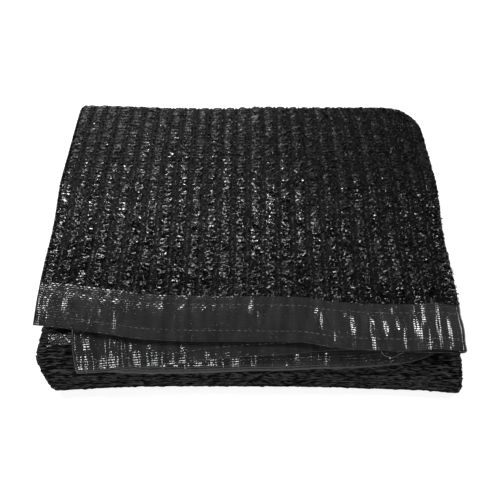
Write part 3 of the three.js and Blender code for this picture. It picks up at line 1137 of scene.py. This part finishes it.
@dataclass(frozen=True)
class InlayTape(Yarn):
    """Tape that goes to and fro across its column, once a course.

    It turns at reach from the column's middle, where it is narrow, rolled and low; between its turns
    it is wide and stands out by its bulge. It crosses nearly square where straight is near 1, and
    goes on to the next course at its turns. A column has per_column such tapes, phase is a share of
    a course, and lean rolls them by their place along the face. course_roll and course_size set one
    course off from the next.
    """

    steps: int
    reach: float
    width: float
    height: float
    bulge: float
    crease: float
    roll: float
    per_column: int = 1
    phase: float = 0.0
    course_roll: float = 0.0
    course_size: float = 0.0
    lean: Table = Table((0.0, 1.0), (0.0, 0.0))
    straight: float = 0.9
    turn_roll: float = 0.7
    turn_width: float = 0.45
    turn_crease: float = 0.3
    tight_bulge: float = 0.6
    phase_jitter: float = 0.12
    u_jitter: float = 0.3
    v_jitter: float = 0.35
    height_jitter: float = 0.2
    reach_spread: Pair = (0.8, 1.12)
    size_spread: Pair = (0.8, 1.1)
    crease_spread: Pair = (0.1, 1.0)
    spare_courses: int = 3
    thickness: float = 0.3

    def path(self, knit: "KnitFace") -> TapePath:
        """Lays the tape in every column.

        Args:
            knit: the face.

        Returns:
            The tape's way over the flat face.
        """
        random, count = knit.random, knit.courses * self.steps + 1
        strips = knit.columns * self.per_column
        shape, by_course = (strips, count), (strips, knit.courses + self.spare_courses)
        middle = (np.repeat(np.arange(knit.columns), self.per_column) + 0.5)[:, None] * knit.pitch_u
        phase = np.tile(np.arange(self.per_column) / self.per_column, knit.columns)[:, None]
        phase = phase + self.phase + random.uniform(-self.phase_jitter, self.phase_jitter, (strips, 1))
        s = np.linspace(0, knit.courses, count)[None, :] + phase
        t, course = s - np.floor(s), np.floor(s)
        here = (np.arange(strips)[:, None], course.astype(int))
        side = np.where(course % 2 == 0, 1, -1)
        along = course + t + self.straight * np.sin(2 * np.pi * t) / (2 * np.pi) - phase
        v = np.clip(along, 0, knit.courses) * knit.pitch_v
        loose = knit.looseness(v)
        reach = self.reach * random.uniform(*self.reach_spread, shape)
        u = middle - side * np.cos(np.pi * t) * reach + random.normal(0, self.u_jitter, shape) * loose
        over = np.sqrt(np.sin(np.pi * t))
        turned = random.normal(0, 1, by_course)[here] * self.course_roll * loose
        grown = 1 + random.normal(0, 1, by_course)[here] * self.course_size
        raised = self.bulge * np.clip(rising(self.tight_bulge, loose), 0, 1) * grown
        height = self.height + raised * over * random.uniform(*self.size_spread, shape)
        height += np.abs(random.normal(0, self.height_jitter, shape)) * loose
        v = v + random.normal(0, self.v_jitter, shape) * loose
        roll = random.normal(0, self.roll, shape) * loose + self.turn_roll * (1 - over) * side
        roll += side * self.lean(v / knit.patch.length) + turned
        width = self.width * rising(self.turn_width, over) * random.uniform(*self.size_spread, shape) * grown
        width /= np.maximum(loose, 1)
        crest = self.crease * random.uniform(*self.crease_spread, (*shape, 2))
        crest *= rising(self.turn_crease, over[..., None])
        crest *= np.minimum(loose, 1)[..., None]
        return TapePath(np.stack([u, v, height], -1), roll, width, crest, self.thickness)


@dataclass(frozen=True)
class ChainTape(Yarn):
    """The chains that tie the courses, one in each channel between the columns."""

    steps: int = 3
    margin: float = 0.8
    sway: float = 0.7
    u_jitter: float = 0.3
    height: float = 0.1
    arch: float = 0.35
    height_spread: Pair = (0.0, 0.25)
    roll_jitter: float = 0.8
    width: float = 1.5
    width_spread: Pair = (0.6, 1.3)
    crease_spread: Pair = (0.05, 0.3)
    thickness: float = 0.3

    def path(self, knit: "KnitFace") -> TapePath:
        """Lays the chains.

        Args:
            knit: the face.

        Returns:
            The chains' way over the flat face.
        """
        random, strips, count = knit.random, knit.columns + 1, knit.courses * self.steps + 1
        shape = (strips, count)
        middle = np.arange(strips)[:, None] * knit.pitch_u
        middle = np.clip(middle, self.margin, knit.patch.width - self.margin)
        s = np.linspace(0, knit.courses, count)[None, :]
        u = middle + self.sway * np.sin(2 * np.pi * s) + random.normal(0, self.u_jitter, shape)
        v = np.repeat(s * knit.pitch_v, strips, 0)
        height = self.height + self.arch * np.abs(np.sin(np.pi * s))
        height = height + random.uniform(*self.height_spread, shape)
        roll = random.normal(0, self.roll_jitter, shape)
        width = self.width * random.uniform(*self.width_spread, shape)
        crest = random.uniform(*self.crease_spread, (*shape, 2))
        return TapePath(np.stack([u, v, height], -1), roll, width, crest, self.thickness)


@dataclass(frozen=True)
class LooseLoops(Yarn):
    """Short crumpled loops of tape that stand out of the columns.

    A cell is one course of one column. crowding below 1 moves the loops towards the face's end. They
    lie across their column, and askew where the knit is looser than tight.
    """

    per_cell: float = 2.2
    crowding: float = 0.45
    steps: int = 4
    ends: Pair = (0.01, 0.99)
    margin: float = 0.5
    u_jitter: float = 3.2
    heading_jitter: float = 0.5
    heading_spread: float = 1.6
    tight: float = 0.6
    long_spread: Pair = (2.0, 5.4)
    curl_jitter: float = 0.9
    foot: float = 0.2
    top: float = 1.9
    top_spread: Pair = (0.4, 1.0)
    tight_top: float = 0.5
    height_jitter: float = 0.15
    roll_jitter: float = 0.7
    twist_jitter: float = 0.3
    width_spread: Pair = (0.35, 1.3)
    end_width: float = 0.6
    crease_spread: Pair = (0.05, 0.35)
    thickness: float = 0.2

    def path(self, knit: "KnitFace") -> TapePath:
        """Scatters the loops.

        Args:
            knit: the face.

        Returns:
            The loops' way over the flat face.
        """
        random, patch = knit.random, knit.patch
        strips = int(knit.columns * knit.courses * self.per_cell)
        one, shape = (strips, 1), (strips, self.steps)
        start_u = (random.integers(0, knit.columns, strips) + 0.5) * knit.pitch_u
        start_u = start_u + random.normal(0, self.u_jitter, strips)
        start_v = random.uniform(*self.ends, strips) ** self.crowding * patch.length
        loose = knit.looseness(start_v)
        heading = random.normal(0, self.heading_jitter, strips) + np.pi * random.integers(0, 2, strips)
        wild = random.uniform(-self.heading_spread, self.heading_spread, strips)
        heading += wild * np.clip(loose - self.tight, 0, 1)
        long = random.uniform(*self.long_spread, strips)
        t = np.linspace(0, 1, self.steps)[None, :]
        angle = heading[:, None] + random.normal(0, self.curl_jitter, one) * (t - 0.5)
        away = (t - 0.5) * long[:, None]
        u = np.clip(start_u[:, None] + away * np.cos(angle), self.margin, patch.width - self.margin)
        v = np.clip(start_v[:, None] + away * np.sin(angle), self.margin, patch.length - self.margin)
        top = self.top * random.uniform(*self.top_spread, one) * rising(self.tight_top, loose[:, None])
        height = self.foot + top * np.sin(np.pi * t) + random.normal(0, self.height_jitter, shape)
        roll = random.normal(0, self.roll_jitter, one) + random.normal(0, self.twist_jitter, shape)
        width = random.uniform(*self.width_spread, one) * rising(self.end_width, np.sin(np.pi * t))
        crest = random.uniform(*self.crease_spread, (*shape, 2))
        return TapePath(np.stack([u, v, height], -1), roll, width, crest, self.thickness)


@dataclass(frozen=True)
class WeftTape(Yarn):
    """Narrow tapes pulled nearly straight across the columns, as on the taut outside of a fold."""

    pitch: float = 1.25
    point_pitch: float = 2.7
    sway: float = 0.42
    phase_spread: float = 0.9
    v_jitter: float = 0.3
    row_jitter: float = 0.5
    foot: float = 0.15
    rise: float = 0.45
    sway_rise: float = 0.2
    roll_jitter: float = 0.5
    twist_jitter: float = 0.3
    width_spread: Pair = (0.7, 1.5)
    crease_spread: Pair = (0.05, 0.3)
    thickness: float = 0.2

    def path(self, knit: "KnitFace") -> TapePath:
        """Lays the tapes side by side.

        Args:
            knit: the face.

        Returns:
            The tapes' way over the flat face.
        """
        random, patch = knit.random, knit.patch
        strips, count = round(patch.length / self.pitch), round(patch.width / self.point_pitch)
        one, shape = (strips, 1), (strips, count)
        u = np.linspace(0, patch.width, count)[None, :] + np.zeros(one)
        sway = wave(u, knit.pitch_u, random.uniform(-self.phase_spread, self.phase_spread, one))
        v = (np.arange(strips)[:, None] + 0.5) * self.pitch + self.sway * sway
        v = v + random.normal(0, self.v_jitter, shape) + random.normal(0, self.row_jitter, one)
        height = self.foot + self.rise * random.uniform(0, 1, shape) ** 2 + self.sway_rise * np.abs(sway)
        roll = random.normal(0, self.roll_jitter, one) + random.normal(0, self.twist_jitter, shape)
        width = self.pitch * random.uniform(*self.width_spread, shape)
        crest = random.uniform(*self.crease_spread, (*shape, 2))
        return TapePath(np.stack([u, v, height], -1), roll, width, crest, self.thickness)


@dataclass
class KnitFace:
    """Tape yarn knitted into raised columns on one open stretch of the net. Sizes in mm.

    crumple says how loose the knit is along the face. dull_along and dull_across add up to the share
    of the yarn's facets that are dull; without dull_along, none are.
    """

    name: str
    patch: Patch
    yarns: tuple[Yarn, ...]
    course_pitch: float
    seed: int = SEED
    column_pitch: float = 12.7
    crumple: Table = Table((0.0, 1.0), (1.0, 1.0))
    dull_along: Table | None = None
    dull_across: Table = Table((0.0, 1.0), (0.0, 0.0))

    def __post_init__(self) -> None:
        """Fits whole columns and courses to the stretch."""
        self.random = np.random.default_rng(self.seed)
        self.columns = max(1, round(self.patch.width / self.column_pitch))
        self.courses = max(1, round(self.patch.length / self.course_pitch))
        self.pitch_u = self.patch.width / self.columns
        self.pitch_v = self.patch.length / self.courses

    def looseness(self, v: Array) -> Array:
        """How crumpled the knit is along the strip."""
        return self.crumple(np.clip(v / self.patch.length, 0, 1))

    def lay(self, name: str, path: TapePath) -> bpy.types.Object:
        """Lays one kind of yarn on the net.

        Args:
            name: name of the kind.
            path: its way over the flat face.

        Returns:
            The piece, its dull facets marked for a second material.
        """
        flat, faces = path.shell()
        flat[:, 0] = np.clip(flat[:, 0], 0, self.patch.width)
        flat[:, 1] = np.clip(flat[:, 1], 0, self.patch.length)
        piece = link_mesh(f"{self.name}_{name}", self.patch.lay(flat), faces, False)
        if self.dull_along is not None:
            middle = flat[faces].mean(axis=1)
            share = self.dull_along(middle[:, 1] / self.patch.length)
            share = share + self.dull_across(middle[:, 0] / self.patch.width)
            dull = self.random.uniform(0, 1, len(faces)) < share
            piece.data.polygons.foreach_set("material_index", dull.astype(np.int32))
        return piece

    def build(self) -> list[bpy.types.Object]:
        """Lays the knit on the net, one piece for each kind of yarn."""
        paths = [yarn.path(self) for yarn in self.yarns]
        return [self.lay(yarn.name, path) for yarn, path in zip(self.yarns, paths)]

    def dress(self, pieces: list[bpy.types.Object]) -> None:
        """Finishes the pieces that build made."""
        for yarn, piece in zip(self.yarns, pieces):
            dress(piece, yarn.finish.material())
            if self.dull_along is not None:
                piece.data.materials.append(YarnFinish.DULL.material())


@dataclass
class NetKnit:
    """The knit on all the net's open faces: the top leaf, the front fold and the five side folds.

    lap is how far a face starts or ends past a zone's own end, in parts of the zone, shown is a leaf
    and half its side fold, and a grid says at how many places a face is sampled across and along the
    strip.
    """

    form: FoldedForm
    shown: float = 1.5
    lap: float = 0.02
    front_lap: float = 0.2
    top_grid: tuple[int, int] = (150, 320)
    front_grid: tuple[int, int] = (130, 160)
    side_grid: tuple[int, int] = (12, 360)
    top_course: float = 4.6
    side_course: float = 5.2
    top_yarns: tuple[Yarn, ...] = (
        InlayTape(
            "bars", YarnFinish.GLOSSY, steps=6, reach=2.7, width=3.5, height=0.3, bulge=0.75, crease=0.3,
            roll=0.22, course_roll=0.2, course_size=0.22,
            lean=Table((0, 0.3, 0.6, 1), (-0.25, -0.15, 0.0, 0.07)),
        ),
        InlayTape(
            "slips", YarnFinish.GLOSSY, steps=4, reach=3.4, width=1.4, height=0.1, bulge=0.7, crease=0.7,
            roll=0.6, per_column=2, phase=0.3,
        ),
        ChainTape("chains", YarnFinish.CHAIN),
        LooseLoops("loops", YarnFinish.GLOSSY),
    )
    # The front's weft and the side folds' bars wear the taut yarn, whose pale streaks are painted sheen
    front_yarns: tuple[Yarn, ...] = (WeftTape("weft", YarnFinish.TAUT_PAINTED_SHEEN),)
    side_yarns: tuple[Yarn, ...] = (
        InlayTape(
            "bars", YarnFinish.TAUT_PAINTED_SHEEN, steps=5, reach=1.5, width=3.0, height=0.1, bulge=0.35, crease=0.25,
            roll=0.3,
        ),
    )
    crumple: Table = Table((0, 0.5, 0.75, 1), (0.4, 0.75, 1.3, 1.6))
    dull_along: Table = Table((0, 0.2, 0.4, 0.6, 0.85, 1), (1.0, 1.0, 0.93, 0.5, 0.05, 0.0))
    dull_across: Table = Table((0, 0.55, 0.75, 1), (0.0, 0.0, 0.2, 0.25))
    front_seed: int = SEED + 5
    side_seed: int = SEED + 10

    def patch(self, face: Face, across: Pair, run: Pair, grid: tuple[int, int]) -> Patch:
        """A stretch of the net's surface."""
        return Patch(self.form, face, across, run, self.form.net_thickness / 2, *grid)

    def top(self) -> KnitFace:
        """The top leaf and half its side fold, from the back fold to the binding."""
        run = (Zone.BACK_FOLD.value + self.lap, Zone.BOUND.value + self.lap)
        patch = self.patch(Face.FRONT, (0.0, self.shown), run, self.top_grid)
        return KnitFace("top_knit", patch, self.top_yarns, self.top_course, crumple=self.crumple,
                        dull_along=self.dull_along, dull_across=self.dull_across)

    def front(self) -> KnitFace:
        """The front fold of leaf 6, which is its outermost layer, and half its side fold."""
        across = (self.form.across_end - self.shown, self.form.across_end)
        run = (Zone.FRONT_FOLD.value - self.lap, Zone.MIDDLE.value + self.front_lap)
        patch = self.patch(Face.FRONT, across, run, self.front_grid)
        return KnitFace("front_knit", patch, self.front_yarns, self.top_course, self.front_seed)

    def sides(self) -> list[KnitFace]:
        """The five side folds, which show the net's front and back in turn."""
        run = (Zone.BOTTOM.value + self.lap, Zone.BOUND.value - self.lap)
        made = []
        for k in range(1, self.form.leaf_count):
            face = Face.FRONT if k % 2 else Face.BACK
            patch = self.patch(face, (2 * k - 1, 2 * k - NUDGE), run, self.side_grid)
            name, seed = f"side_knit_{k}", self.side_seed + k
            made.append(KnitFace(name, patch, self.side_yarns, self.side_course, seed))
        return made


@dataclass
class CrumpledStrip:
    """A short crumpled strip of tape that shows in the gap at the left front corner. Sizes in mm.

    start and end are measured from the patch's far side, and place along it. rise is the height of
    the first ribbon and the last.
    """

    patch: Patch
    start: float = 31.0
    end: float = 8.0
    place: float = 62.0
    spread: float = 4.5
    rise: Pair = (4.5, 9.5)
    ribbons: int = 7
    steps: int = 14
    roll: float = 0.9
    roll_jitter: float = 0.4
    u_jitter: float = 0.4
    jitter: float = 0.35
    width_spread: Pair = (0.9, 1.9)
    crease_spread: Pair = (0.05, 0.35)
    thickness: float = 0.2
    seed: int = SEED + 3

    def build(self) -> list[bpy.types.Object]:
        """Lays its ribbons side by side, each crumpled on its own."""
        random = np.random.default_rng(self.seed)
        shape = (self.ribbons, self.steps)
        u = np.linspace(self.patch.width - self.start, self.patch.width - self.end, self.steps)[None, :]
        u = np.broadcast_to(u, shape) + random.normal(0, self.u_jitter, shape)
        v = self.place + np.linspace(-0.5, 0.5, self.ribbons)[:, None] * self.spread
        v = v + random.normal(0, self.jitter, shape)
        height = np.linspace(*self.rise, self.ribbons)[:, None] + random.normal(0, self.jitter, shape)
        roll = self.roll + random.normal(0, self.roll_jitter, shape)
        width = random.uniform(*self.width_spread, shape)
        crest = random.uniform(*self.crease_spread, (*shape, 2))
        path = TapePath(np.stack([u, v, height], -1), roll, width, crest, self.thickness)
        flat, faces = path.shell()
        return [link_mesh("crumpled_strip", self.patch.lay(flat), faces, False)]

    def dress(self, pieces: list[bpy.types.Object]) -> None:
        """Finishes the strip."""
        for piece in pieces:
            dress(piece, YarnFinish.CRUMPLED.material())


@dataclass
class EdgeBinding:
    """The woven tape folded over the net's end and sewn through. Sizes in mm.

    Its section has outer_steps points on each outer leg, nose_steps round the nose and inner_steps
    on each inner leg. Folds and puckers are waves of several lengths, each in patches whose length
    is drawn from fold_patches or pucker_patches. fold_sway is how far a fold sways and over what
    length, and fold_at_seams is the share of it that is left at the stitching. pucker_reach is how
    far puckers go from the row on the net's side and from the row at the nose. wrinkled says how
    wrinkled the tape is, by the length from its left end.
    """

    form: FoldedForm
    leaf_steps: tuple[int, ...] = (210, 200, 180, 60, 40, 40)
    fold_steps: int = 10
    outer_steps: int = 18
    inner_steps: int = 4
    nose_steps: int = 5
    measured_row: int = 9
    rim: float = 0.15
    nose_radius: float = 0.35
    end_curl: float = 1.1
    end_curl_length: float = 22.0
    pinch: float = 0.16
    pinch_reach: float = 2.2
    pillow: float = 0.2
    fold_lengths: tuple[float, ...] = (6.1, 7.7, 9.3, 11.4, 14.0, 17.0)
    fold_slope: float = 0.011
    fold_patches: Pair = (40, 110)
    fold_lean: float = 0.1
    fold_sway: Pair = (0.6, 6.0)
    fold_at_seams: float = 0.45
    pucker_lengths: tuple[float, ...] = (4.4, 6.1, 8.3)
    pucker_slope: float = 0.044
    pucker_patches: Pair = (25, 60)
    pucker_reach: Pair = (3.5, 4.5)
    wrinkled: Table = Table(
        (0, 20, 38, 48, 60, 74, 90, 98, 108, 120, 130, 138, 146, 152, 160, 172, 180, 200,
         212, 262, 285, 310, 330, 500, 530, 620, 700, 800, 1000, 1900),
        (1.2, 1.2, 0.7, 2.6, 2.6, 0.6, 0.7, 2.4, 0.8, 2.4, 1.6, 0.8, 1.8, 1.4, 2.2, 2.0, 1.2, 1.0,
         3.8, 3.8, 3.1, 2.6, 1.3, 1.8, 3.0, 3.0, 1.5, 2.8, 2.8, 0.9),
    )
    seed: int = SEED + 1

    def section(self, upper: Array) -> tuple[Array, Array, Array]:
        """The tape's section, once round.

        Args:
            upper: for each column, 1 where the face with the normal is the upper one, and -1 where it
                is the lower.

        Returns:
            Run of each point, its offset from the net's middle in each column, and its share of relief.
        """
        form, radius = self.form, self.nose_radius
        wide, inner = form.binding_width, form.bound_net_thickness / 2 + form.clearance
        outer = inner + form.tape_thickness
        net_end = wide - form.tape_thickness - form.clearance
        flat_end = net_end - self.rim
        flat_part = np.linspace(0, flat_end, self.outer_steps - 2)[1:]
        legs = np.concatenate([[0, self.rim], flat_part, [wide - radius]])
        turn = np.linspace(0, np.pi, self.nose_steps + 2)[1:-1]
        nose = wide - radius * (1 - np.sin(turn))
        inside = np.linspace(0, net_end, self.inner_steps)
        centre = (outer - radius) * upper[:, None]
        above = np.full((upper.size, legs.size), outer)
        below = -above
        above[:, -1], below[:, -1] = (centre + radius)[:, 0], (centre - radius)[:, 0]
        inner_side = np.full((upper.size, inside.size), inner)
        offset = np.concatenate(
            [above, centre + radius * np.cos(turn), below[:, ::-1], -inner_side, inner_side], 1)
        shown = np.ones(legs.size)
        relief = np.concatenate([shown, np.cos(turn), -shown, np.zeros(2 * inside.size)])
        run = np.concatenate([legs, nose, legs[::-1], inside, inside[::-1]]) / wide
        return Zone.BOUND.value + run, offset, relief

    def relief(self, u: Array, v: Array) -> Array:
        """The tape's wrinkles: pinched at the two rows of stitching, with folds square to the edge.

        Args:
            u: place along the edge.
            v: place across the tape, from the net's side to the nose.

        Returns:
            Height over the plain tape.
        """
        random = np.random.default_rng(self.seed)
        inset, width = self.form.stitch_inset, self.form.binding_width
        from_first, from_last = v - inset, v - width + inset
        between = np.sin(np.pi * np.clip(from_first / (width - 2 * inset), 0, 1))
        folds = np.zeros(np.broadcast(u, v).shape)
        for length in self.fold_lengths:
            lean, bend = random.normal(0, self.fold_lean), random.uniform(0, TURN)
            patch = 0.5 + 0.5 * wave(u, random.uniform(*self.fold_patches), random.uniform(0, TURN))
            sway = self.fold_sway[0] * np.sin(v / self.fold_sway[1] + bend)
            folds += patch * wave(u + lean * v + sway, length, bend) * length
        folds *= self.fold_slope * self.wrinkled(u) * rising(self.fold_at_seams, between)
        puckers = np.zeros_like(folds)
        for length in self.pucker_lengths:
            patch = wave(u, random.uniform(*self.pucker_patches), random.uniform(0, TURN))
            puckers += np.maximum(patch, 0) * wave(u, length, random.uniform(0, TURN)) * length
        first, last = self.pucker_reach
        puckers *= self.pucker_slope * np.maximum(bell(from_first / first), bell(from_last / last))
        pinched = bell(from_first / self.pinch_reach) + bell(from_last / self.pinch_reach)
        return self.pillow * between - self.pinch * pinched + folds + puckers

    def build(self) -> list[bpy.types.Object]:
        """Makes the tape, closed all round."""
        form = self.form
        across = form.stations(self.leaf_steps, self.fold_steps)
        piece = np.minimum(np.floor(across), form.across_end - 1)
        flat = np.where(piece // 2 % 2 == 0, -1.0, 1.0)
        upper = np.where(piece % 2 == 0, flat, flat * np.cos(np.pi * (across - piece)))
        run, offset, share = self.section(upper)
        middle, normal = form.sampled(across, run)
        u = lengths(middle[:, self.measured_row])
        v = (run - Zone.BOUND.value) * form.binding_width
        raised = self.relief(u[:, None], v[None, :]) * share[None, :]
        curl = self.end_curl * np.clip(1 - u / self.end_curl_length, 0, 1) ** 2
        rings = middle + normal * (offset + raised + curl[:, None])[..., None]
        first_side = np.arange(run.size) < self.outer_steps + (self.nose_steps + 1) // 2
        uv = cloth_places(u, np.where(first_side, v, 2 * form.binding_width - v))
        faces = self.faces(across.size, run.size)
        return [link_mesh("binding_tape", form.to_frame(rings).reshape(-1, 3), faces, True, uv)]

    def faces(self, columns: int, size: int) -> Array:
        """Quads round the tape, and its two cut ends.

        Args:
            columns: number of sections along the tape.
            size: points round each section.

        Returns:
            Rows of four vertex numbers.
        """
        wall = ring_faces(1, columns, size)[: (columns - 1) * size]
        end = self.cut_end(size)
        return np.concatenate([wall, end, end + (columns - 1) * size])

    def cut_end(self, size: int) -> Array:
        """A fan of quads across the U of one cut end.

        Args:
            size: points round the section.

        Returns:
            Rows of four vertex numbers; a triangle repeats its last one.
        """
        outer = list(range(2 * self.outer_steps + self.nose_steps))
        inner = list(range(size - 1, outer[-1], -1))
        rows, j = [], 0
        for i in range(len(outer) - 1):
            goal = round((i + 1) / (len(outer) - 1) * (len(inner) - 1))
            step = 1 if goal > j else 0
            rows.append([outer[i], outer[i + 1], inner[j + step], inner[j]])
            j += step
        return np.array(rows)

    def dress(self, pieces: list[bpy.types.Object]) -> None:
        """Finishes the tape, which stands for the binding's solid."""
        for piece in pieces:
            dress(piece, WovenTapeFinish().material())
            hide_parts(BINDING_NODE)


@dataclass
class Stitching:
    """Two rows of sewing through the binding, seen on both faces. Sizes in mm.

    A stitch's middle lies rise over the tape. Its ends lie lower than that by dive, and their share
    of its radius is the root of blunt. bow is the route of the thread's loose end in the form's own
    frame, and bow_level is a direction that it never takes. grid says at how many places the tape is
    sampled across and along the strip.
    """

    form: FoldedForm
    period: float = 4.4
    stitch: float = 3.5
    radius: float = 0.14
    blunt: float = 0.02
    rise: float = 0.12
    dive: float = 0.35
    place_jitter: float = 0.12
    lean_jitter: float = 0.12
    row_jitter: float = 0.08
    rings: int = 5
    sides: int = 4
    grid: tuple[int, int] = (700, 24)
    bow: tuple[Triple, ...] = (
        (93.6, -6.6, 50.0), (94.9, -8.3, 48.6), (97.8, -9.0, 46.9), (101.5, -9.2, 46.2), (105.0, -8.8, 47.3),
        (107.3, -8.2, 49.0), (109.6, -7.8, 49.6),
    )
    bow_rings: int = 40
    bow_level: Triple = (0.0, 1.0, 0.3)
    seed: int = SEED + 2

    def circle(self) -> tuple[Array, Array]:
        """The cosines and sines of the thread's sides."""
        angle = np.arange(self.sides) / self.sides * 2 * np.pi
        return np.cos(angle), np.sin(angle)

    def row(self, patch: Patch, v: float) -> tuple[Array, Array]:
        """One row of stitches on a face.

        Args:
            patch: the face of the binding.
            v: place of the row across it.

        Returns:
            Points in metres, and quads.
        """
        random = np.random.default_rng(self.seed + int(v))
        count = int(patch.width / self.period)
        middle = (np.arange(count) + 0.5) * self.period + random.normal(0, self.place_jitter, count)
        t = np.linspace(-1, 1, self.rings)
        radius = self.radius * np.sqrt(np.clip(1 + self.blunt - t ** 2, self.blunt, 1))
        lean = random.normal(0, self.lean_jitter, (count, 1))
        centre = np.stack(np.broadcast_arrays(
            middle[:, None] + t * self.stitch / 2,
            v + lean * t + random.normal(0, self.row_jitter, (count, 1)),
            self.rise - self.dive * t ** 2,
        ), -1)
        cos, sin = self.circle()
        ring = np.stack([np.zeros(self.sides), cos, sin], -1)
        flat = centre[:, :, None] + ring * radius[None, :, None, None]
        return patch.lay(flat.reshape(-1, 3)), ring_faces(count, self.rings, self.sides)

    def loose_end(self) -> tuple[Array, Array]:
        """The end of the thread, which hangs in a small bow under the top edge.

        Returns:
            Points in metres, and quads.
        """
        at = np.linspace(0, 1, self.bow_rings)
        places = tuple(np.linspace(0, 1, len(self.bow)))
        centre = np.stack([Table(places, values)(at) for values in zip(*self.bow)], -1)
        tangent = unit(np.gradient(centre, axis=0))
        aside = unit(np.cross(tangent, self.bow_level))
        above = np.cross(aside, tangent)
        cos, sin = self.circle()
        ring = aside[:, None] * cos[:, None] + above[:, None] * sin[:, None]
        points = centre[:, None] + ring * self.radius
        return self.form.to_frame(points.reshape(-1, 3)), ring_faces(1, self.bow_rings, self.sides)

    def build(self) -> list[bpy.types.Object]:
        """Lays all the rows and the loose end."""
        form = self.form
        lift = form.bound_net_thickness / 2 + form.clearance + form.tape_thickness
        across, run = (0, form.across_end - NUDGE), (Zone.BOUND.value, form.run_end - NUDGE)
        patches = [Patch(form, face, across, run, lift, *self.grid) for face in Face]
        rows = (form.stitch_inset, form.binding_width - form.stitch_inset)
        shells = [self.row(patch, v) for patch in patches for v in rows]
        shells.append(self.loose_end())
        points, faces, used = [], [], 0
        for made, quads in shells:
            points.append(made)
            faces.append(quads + used)
            used += len(made)
        piece = link_mesh("binding_stitches", np.concatenate(points), np.concatenate(faces), True)
        return [piece]

    def dress(self, pieces: list[bpy.types.Object]) -> None:
        """Finishes the thread."""
        for piece in pieces:
            dress(piece, ThreadFinish().material())


# The studio and the whole

@dataclass(frozen=True)
class SoftBox:
    """A lamp with a wide soft face. Metres and watts."""

    name: str
    place: Triple
    size: Pair
    power: float


@dataclass
class Studio:
    """A pale floor, soft lights and a camera at the photograph's angle. Metres and degrees.

    focal_px and image_px are in pixels of the photograph, and sensor is in mm. aim is the point that
    the lights face, and sky is how bright the backdrop is for all but the camera, which sees white.
    """

    eye: Triple = (0.0016, -0.5338, 0.4893)
    look_down: float = 42.0
    focal_px: float = 807.4
    image_px: float = 500.0
    sensor: float = 36.0
    floor_size: float = 12.0
    sky: float = 0.1
    aim: Triple = (0.0, 0.0, 0.04)
    boxes: tuple[SoftBox, ...] = (
        SoftBox("back_box", (-0.3, 1.08, 0.8), (0.48, 0.24), 22.5),
        SoftBox("right_box", (0.82, -0.1, 1.3), (0.36, 0.18), 16.5),
        SoftBox("left_box", (-0.85, -0.05, 1.3), (0.22, 0.12), 6.6),
        SoftBox("low_box", (-0.32, -1.2, 0.72), (0.16, 0.14), 7.0),
    )

    def floor(self) -> None:
        """Adds the floor."""
        bpy.ops.object.select_all(action="DESELECT")
        bpy.ops.mesh.primitive_plane_add(size=self.floor_size, location=(0, 0, 0))
        plane = bpy.context.object
        plane.name = "floor"
        plane.data.materials.append(FloorFinish().material())

    def light(self, box: SoftBox) -> None:
        """Adds a soft box that faces the net.

        Args:
            box: its name, place, size and power.
        """
        bpy.ops.object.light_add(type="AREA", location=box.place)
        lamp = bpy.context.object
        lamp.name = box.name
        lamp.data.shape = "RECTANGLE"
        lamp.data.size, lamp.data.size_y = box.size
        lamp.data.energy = box.power
        back = np.array(box.place) - np.array(self.aim)
        turn = math.atan2(back[0], -back[1])
        tilt = math.atan2(math.hypot(back[0], back[1]), back[2])
        lamp.rotation_euler = (tilt, 0, turn)

    def camera(self) -> None:
        """Adds the camera."""
        bpy.ops.object.camera_add(location=self.eye)
        camera = bpy.context.object
        camera.name = "photo_camera"
        camera.rotation_euler = (math.radians(90 - self.look_down), 0, 0)
        camera.data.sensor_width = self.sensor
        camera.data.lens = self.focal_px / self.image_px * self.sensor
        bpy.context.scene.camera = camera

    def backdrop(self) -> None:
        """Sets a dim sky that the camera itself sees as white."""
        world = bpy.data.worlds.new("studio")
        world.use_nodes = True
        tree = world.node_tree
        background, path = tree.nodes["Background"], tree.nodes.new("ShaderNodeLightPath")
        strength = tree.nodes.new("ShaderNodeMath")
        strength.operation = "MULTIPLY_ADD"
        strength.inputs[1].default_value = 1 - self.sky
        strength.inputs[2].default_value = self.sky
        tree.links.new(path.outputs["Is Camera Ray"], strength.inputs[0])
        tree.links.new(strength.outputs[0], background.inputs["Strength"])
        background.inputs["Color"].default_value = (1, 1, 1, 1)
        bpy.context.scene.world = world

    def build(self) -> None:
        """Sets the whole studio up."""
        self.camera()
        self.floor()
        for box in self.boxes:
            self.light(box)
        self.backdrop()
        bpy.context.scene.view_settings.view_transform = "Standard"


def main() -> None:
    """Builds, dresses and reports the net piece by piece, the sheet last."""
    logging.basicConfig(level=logging.INFO, format="%(name)s %(message)s")
    form = FoldedForm()
    Studio().build()
    knit = NetKnit(form)
    front = knit.front()
    trim = (CrumpledStrip(front.patch), EdgeBinding(form), Stitching(form))
    worked: list[bpy.types.Object] = []
    for part in (knit.top(), front, *knit.sides(), *trim):
        pieces = part.build()
        part.dress(pieces)
        for piece in pieces:
            report(piece)
        worked += pieces
    cloth = NetCloth(form)
    sheet = cloth.build()
    cloth.dress(sheet, worked)
    report(sheet)


if __name__ == "__main__":
    main()
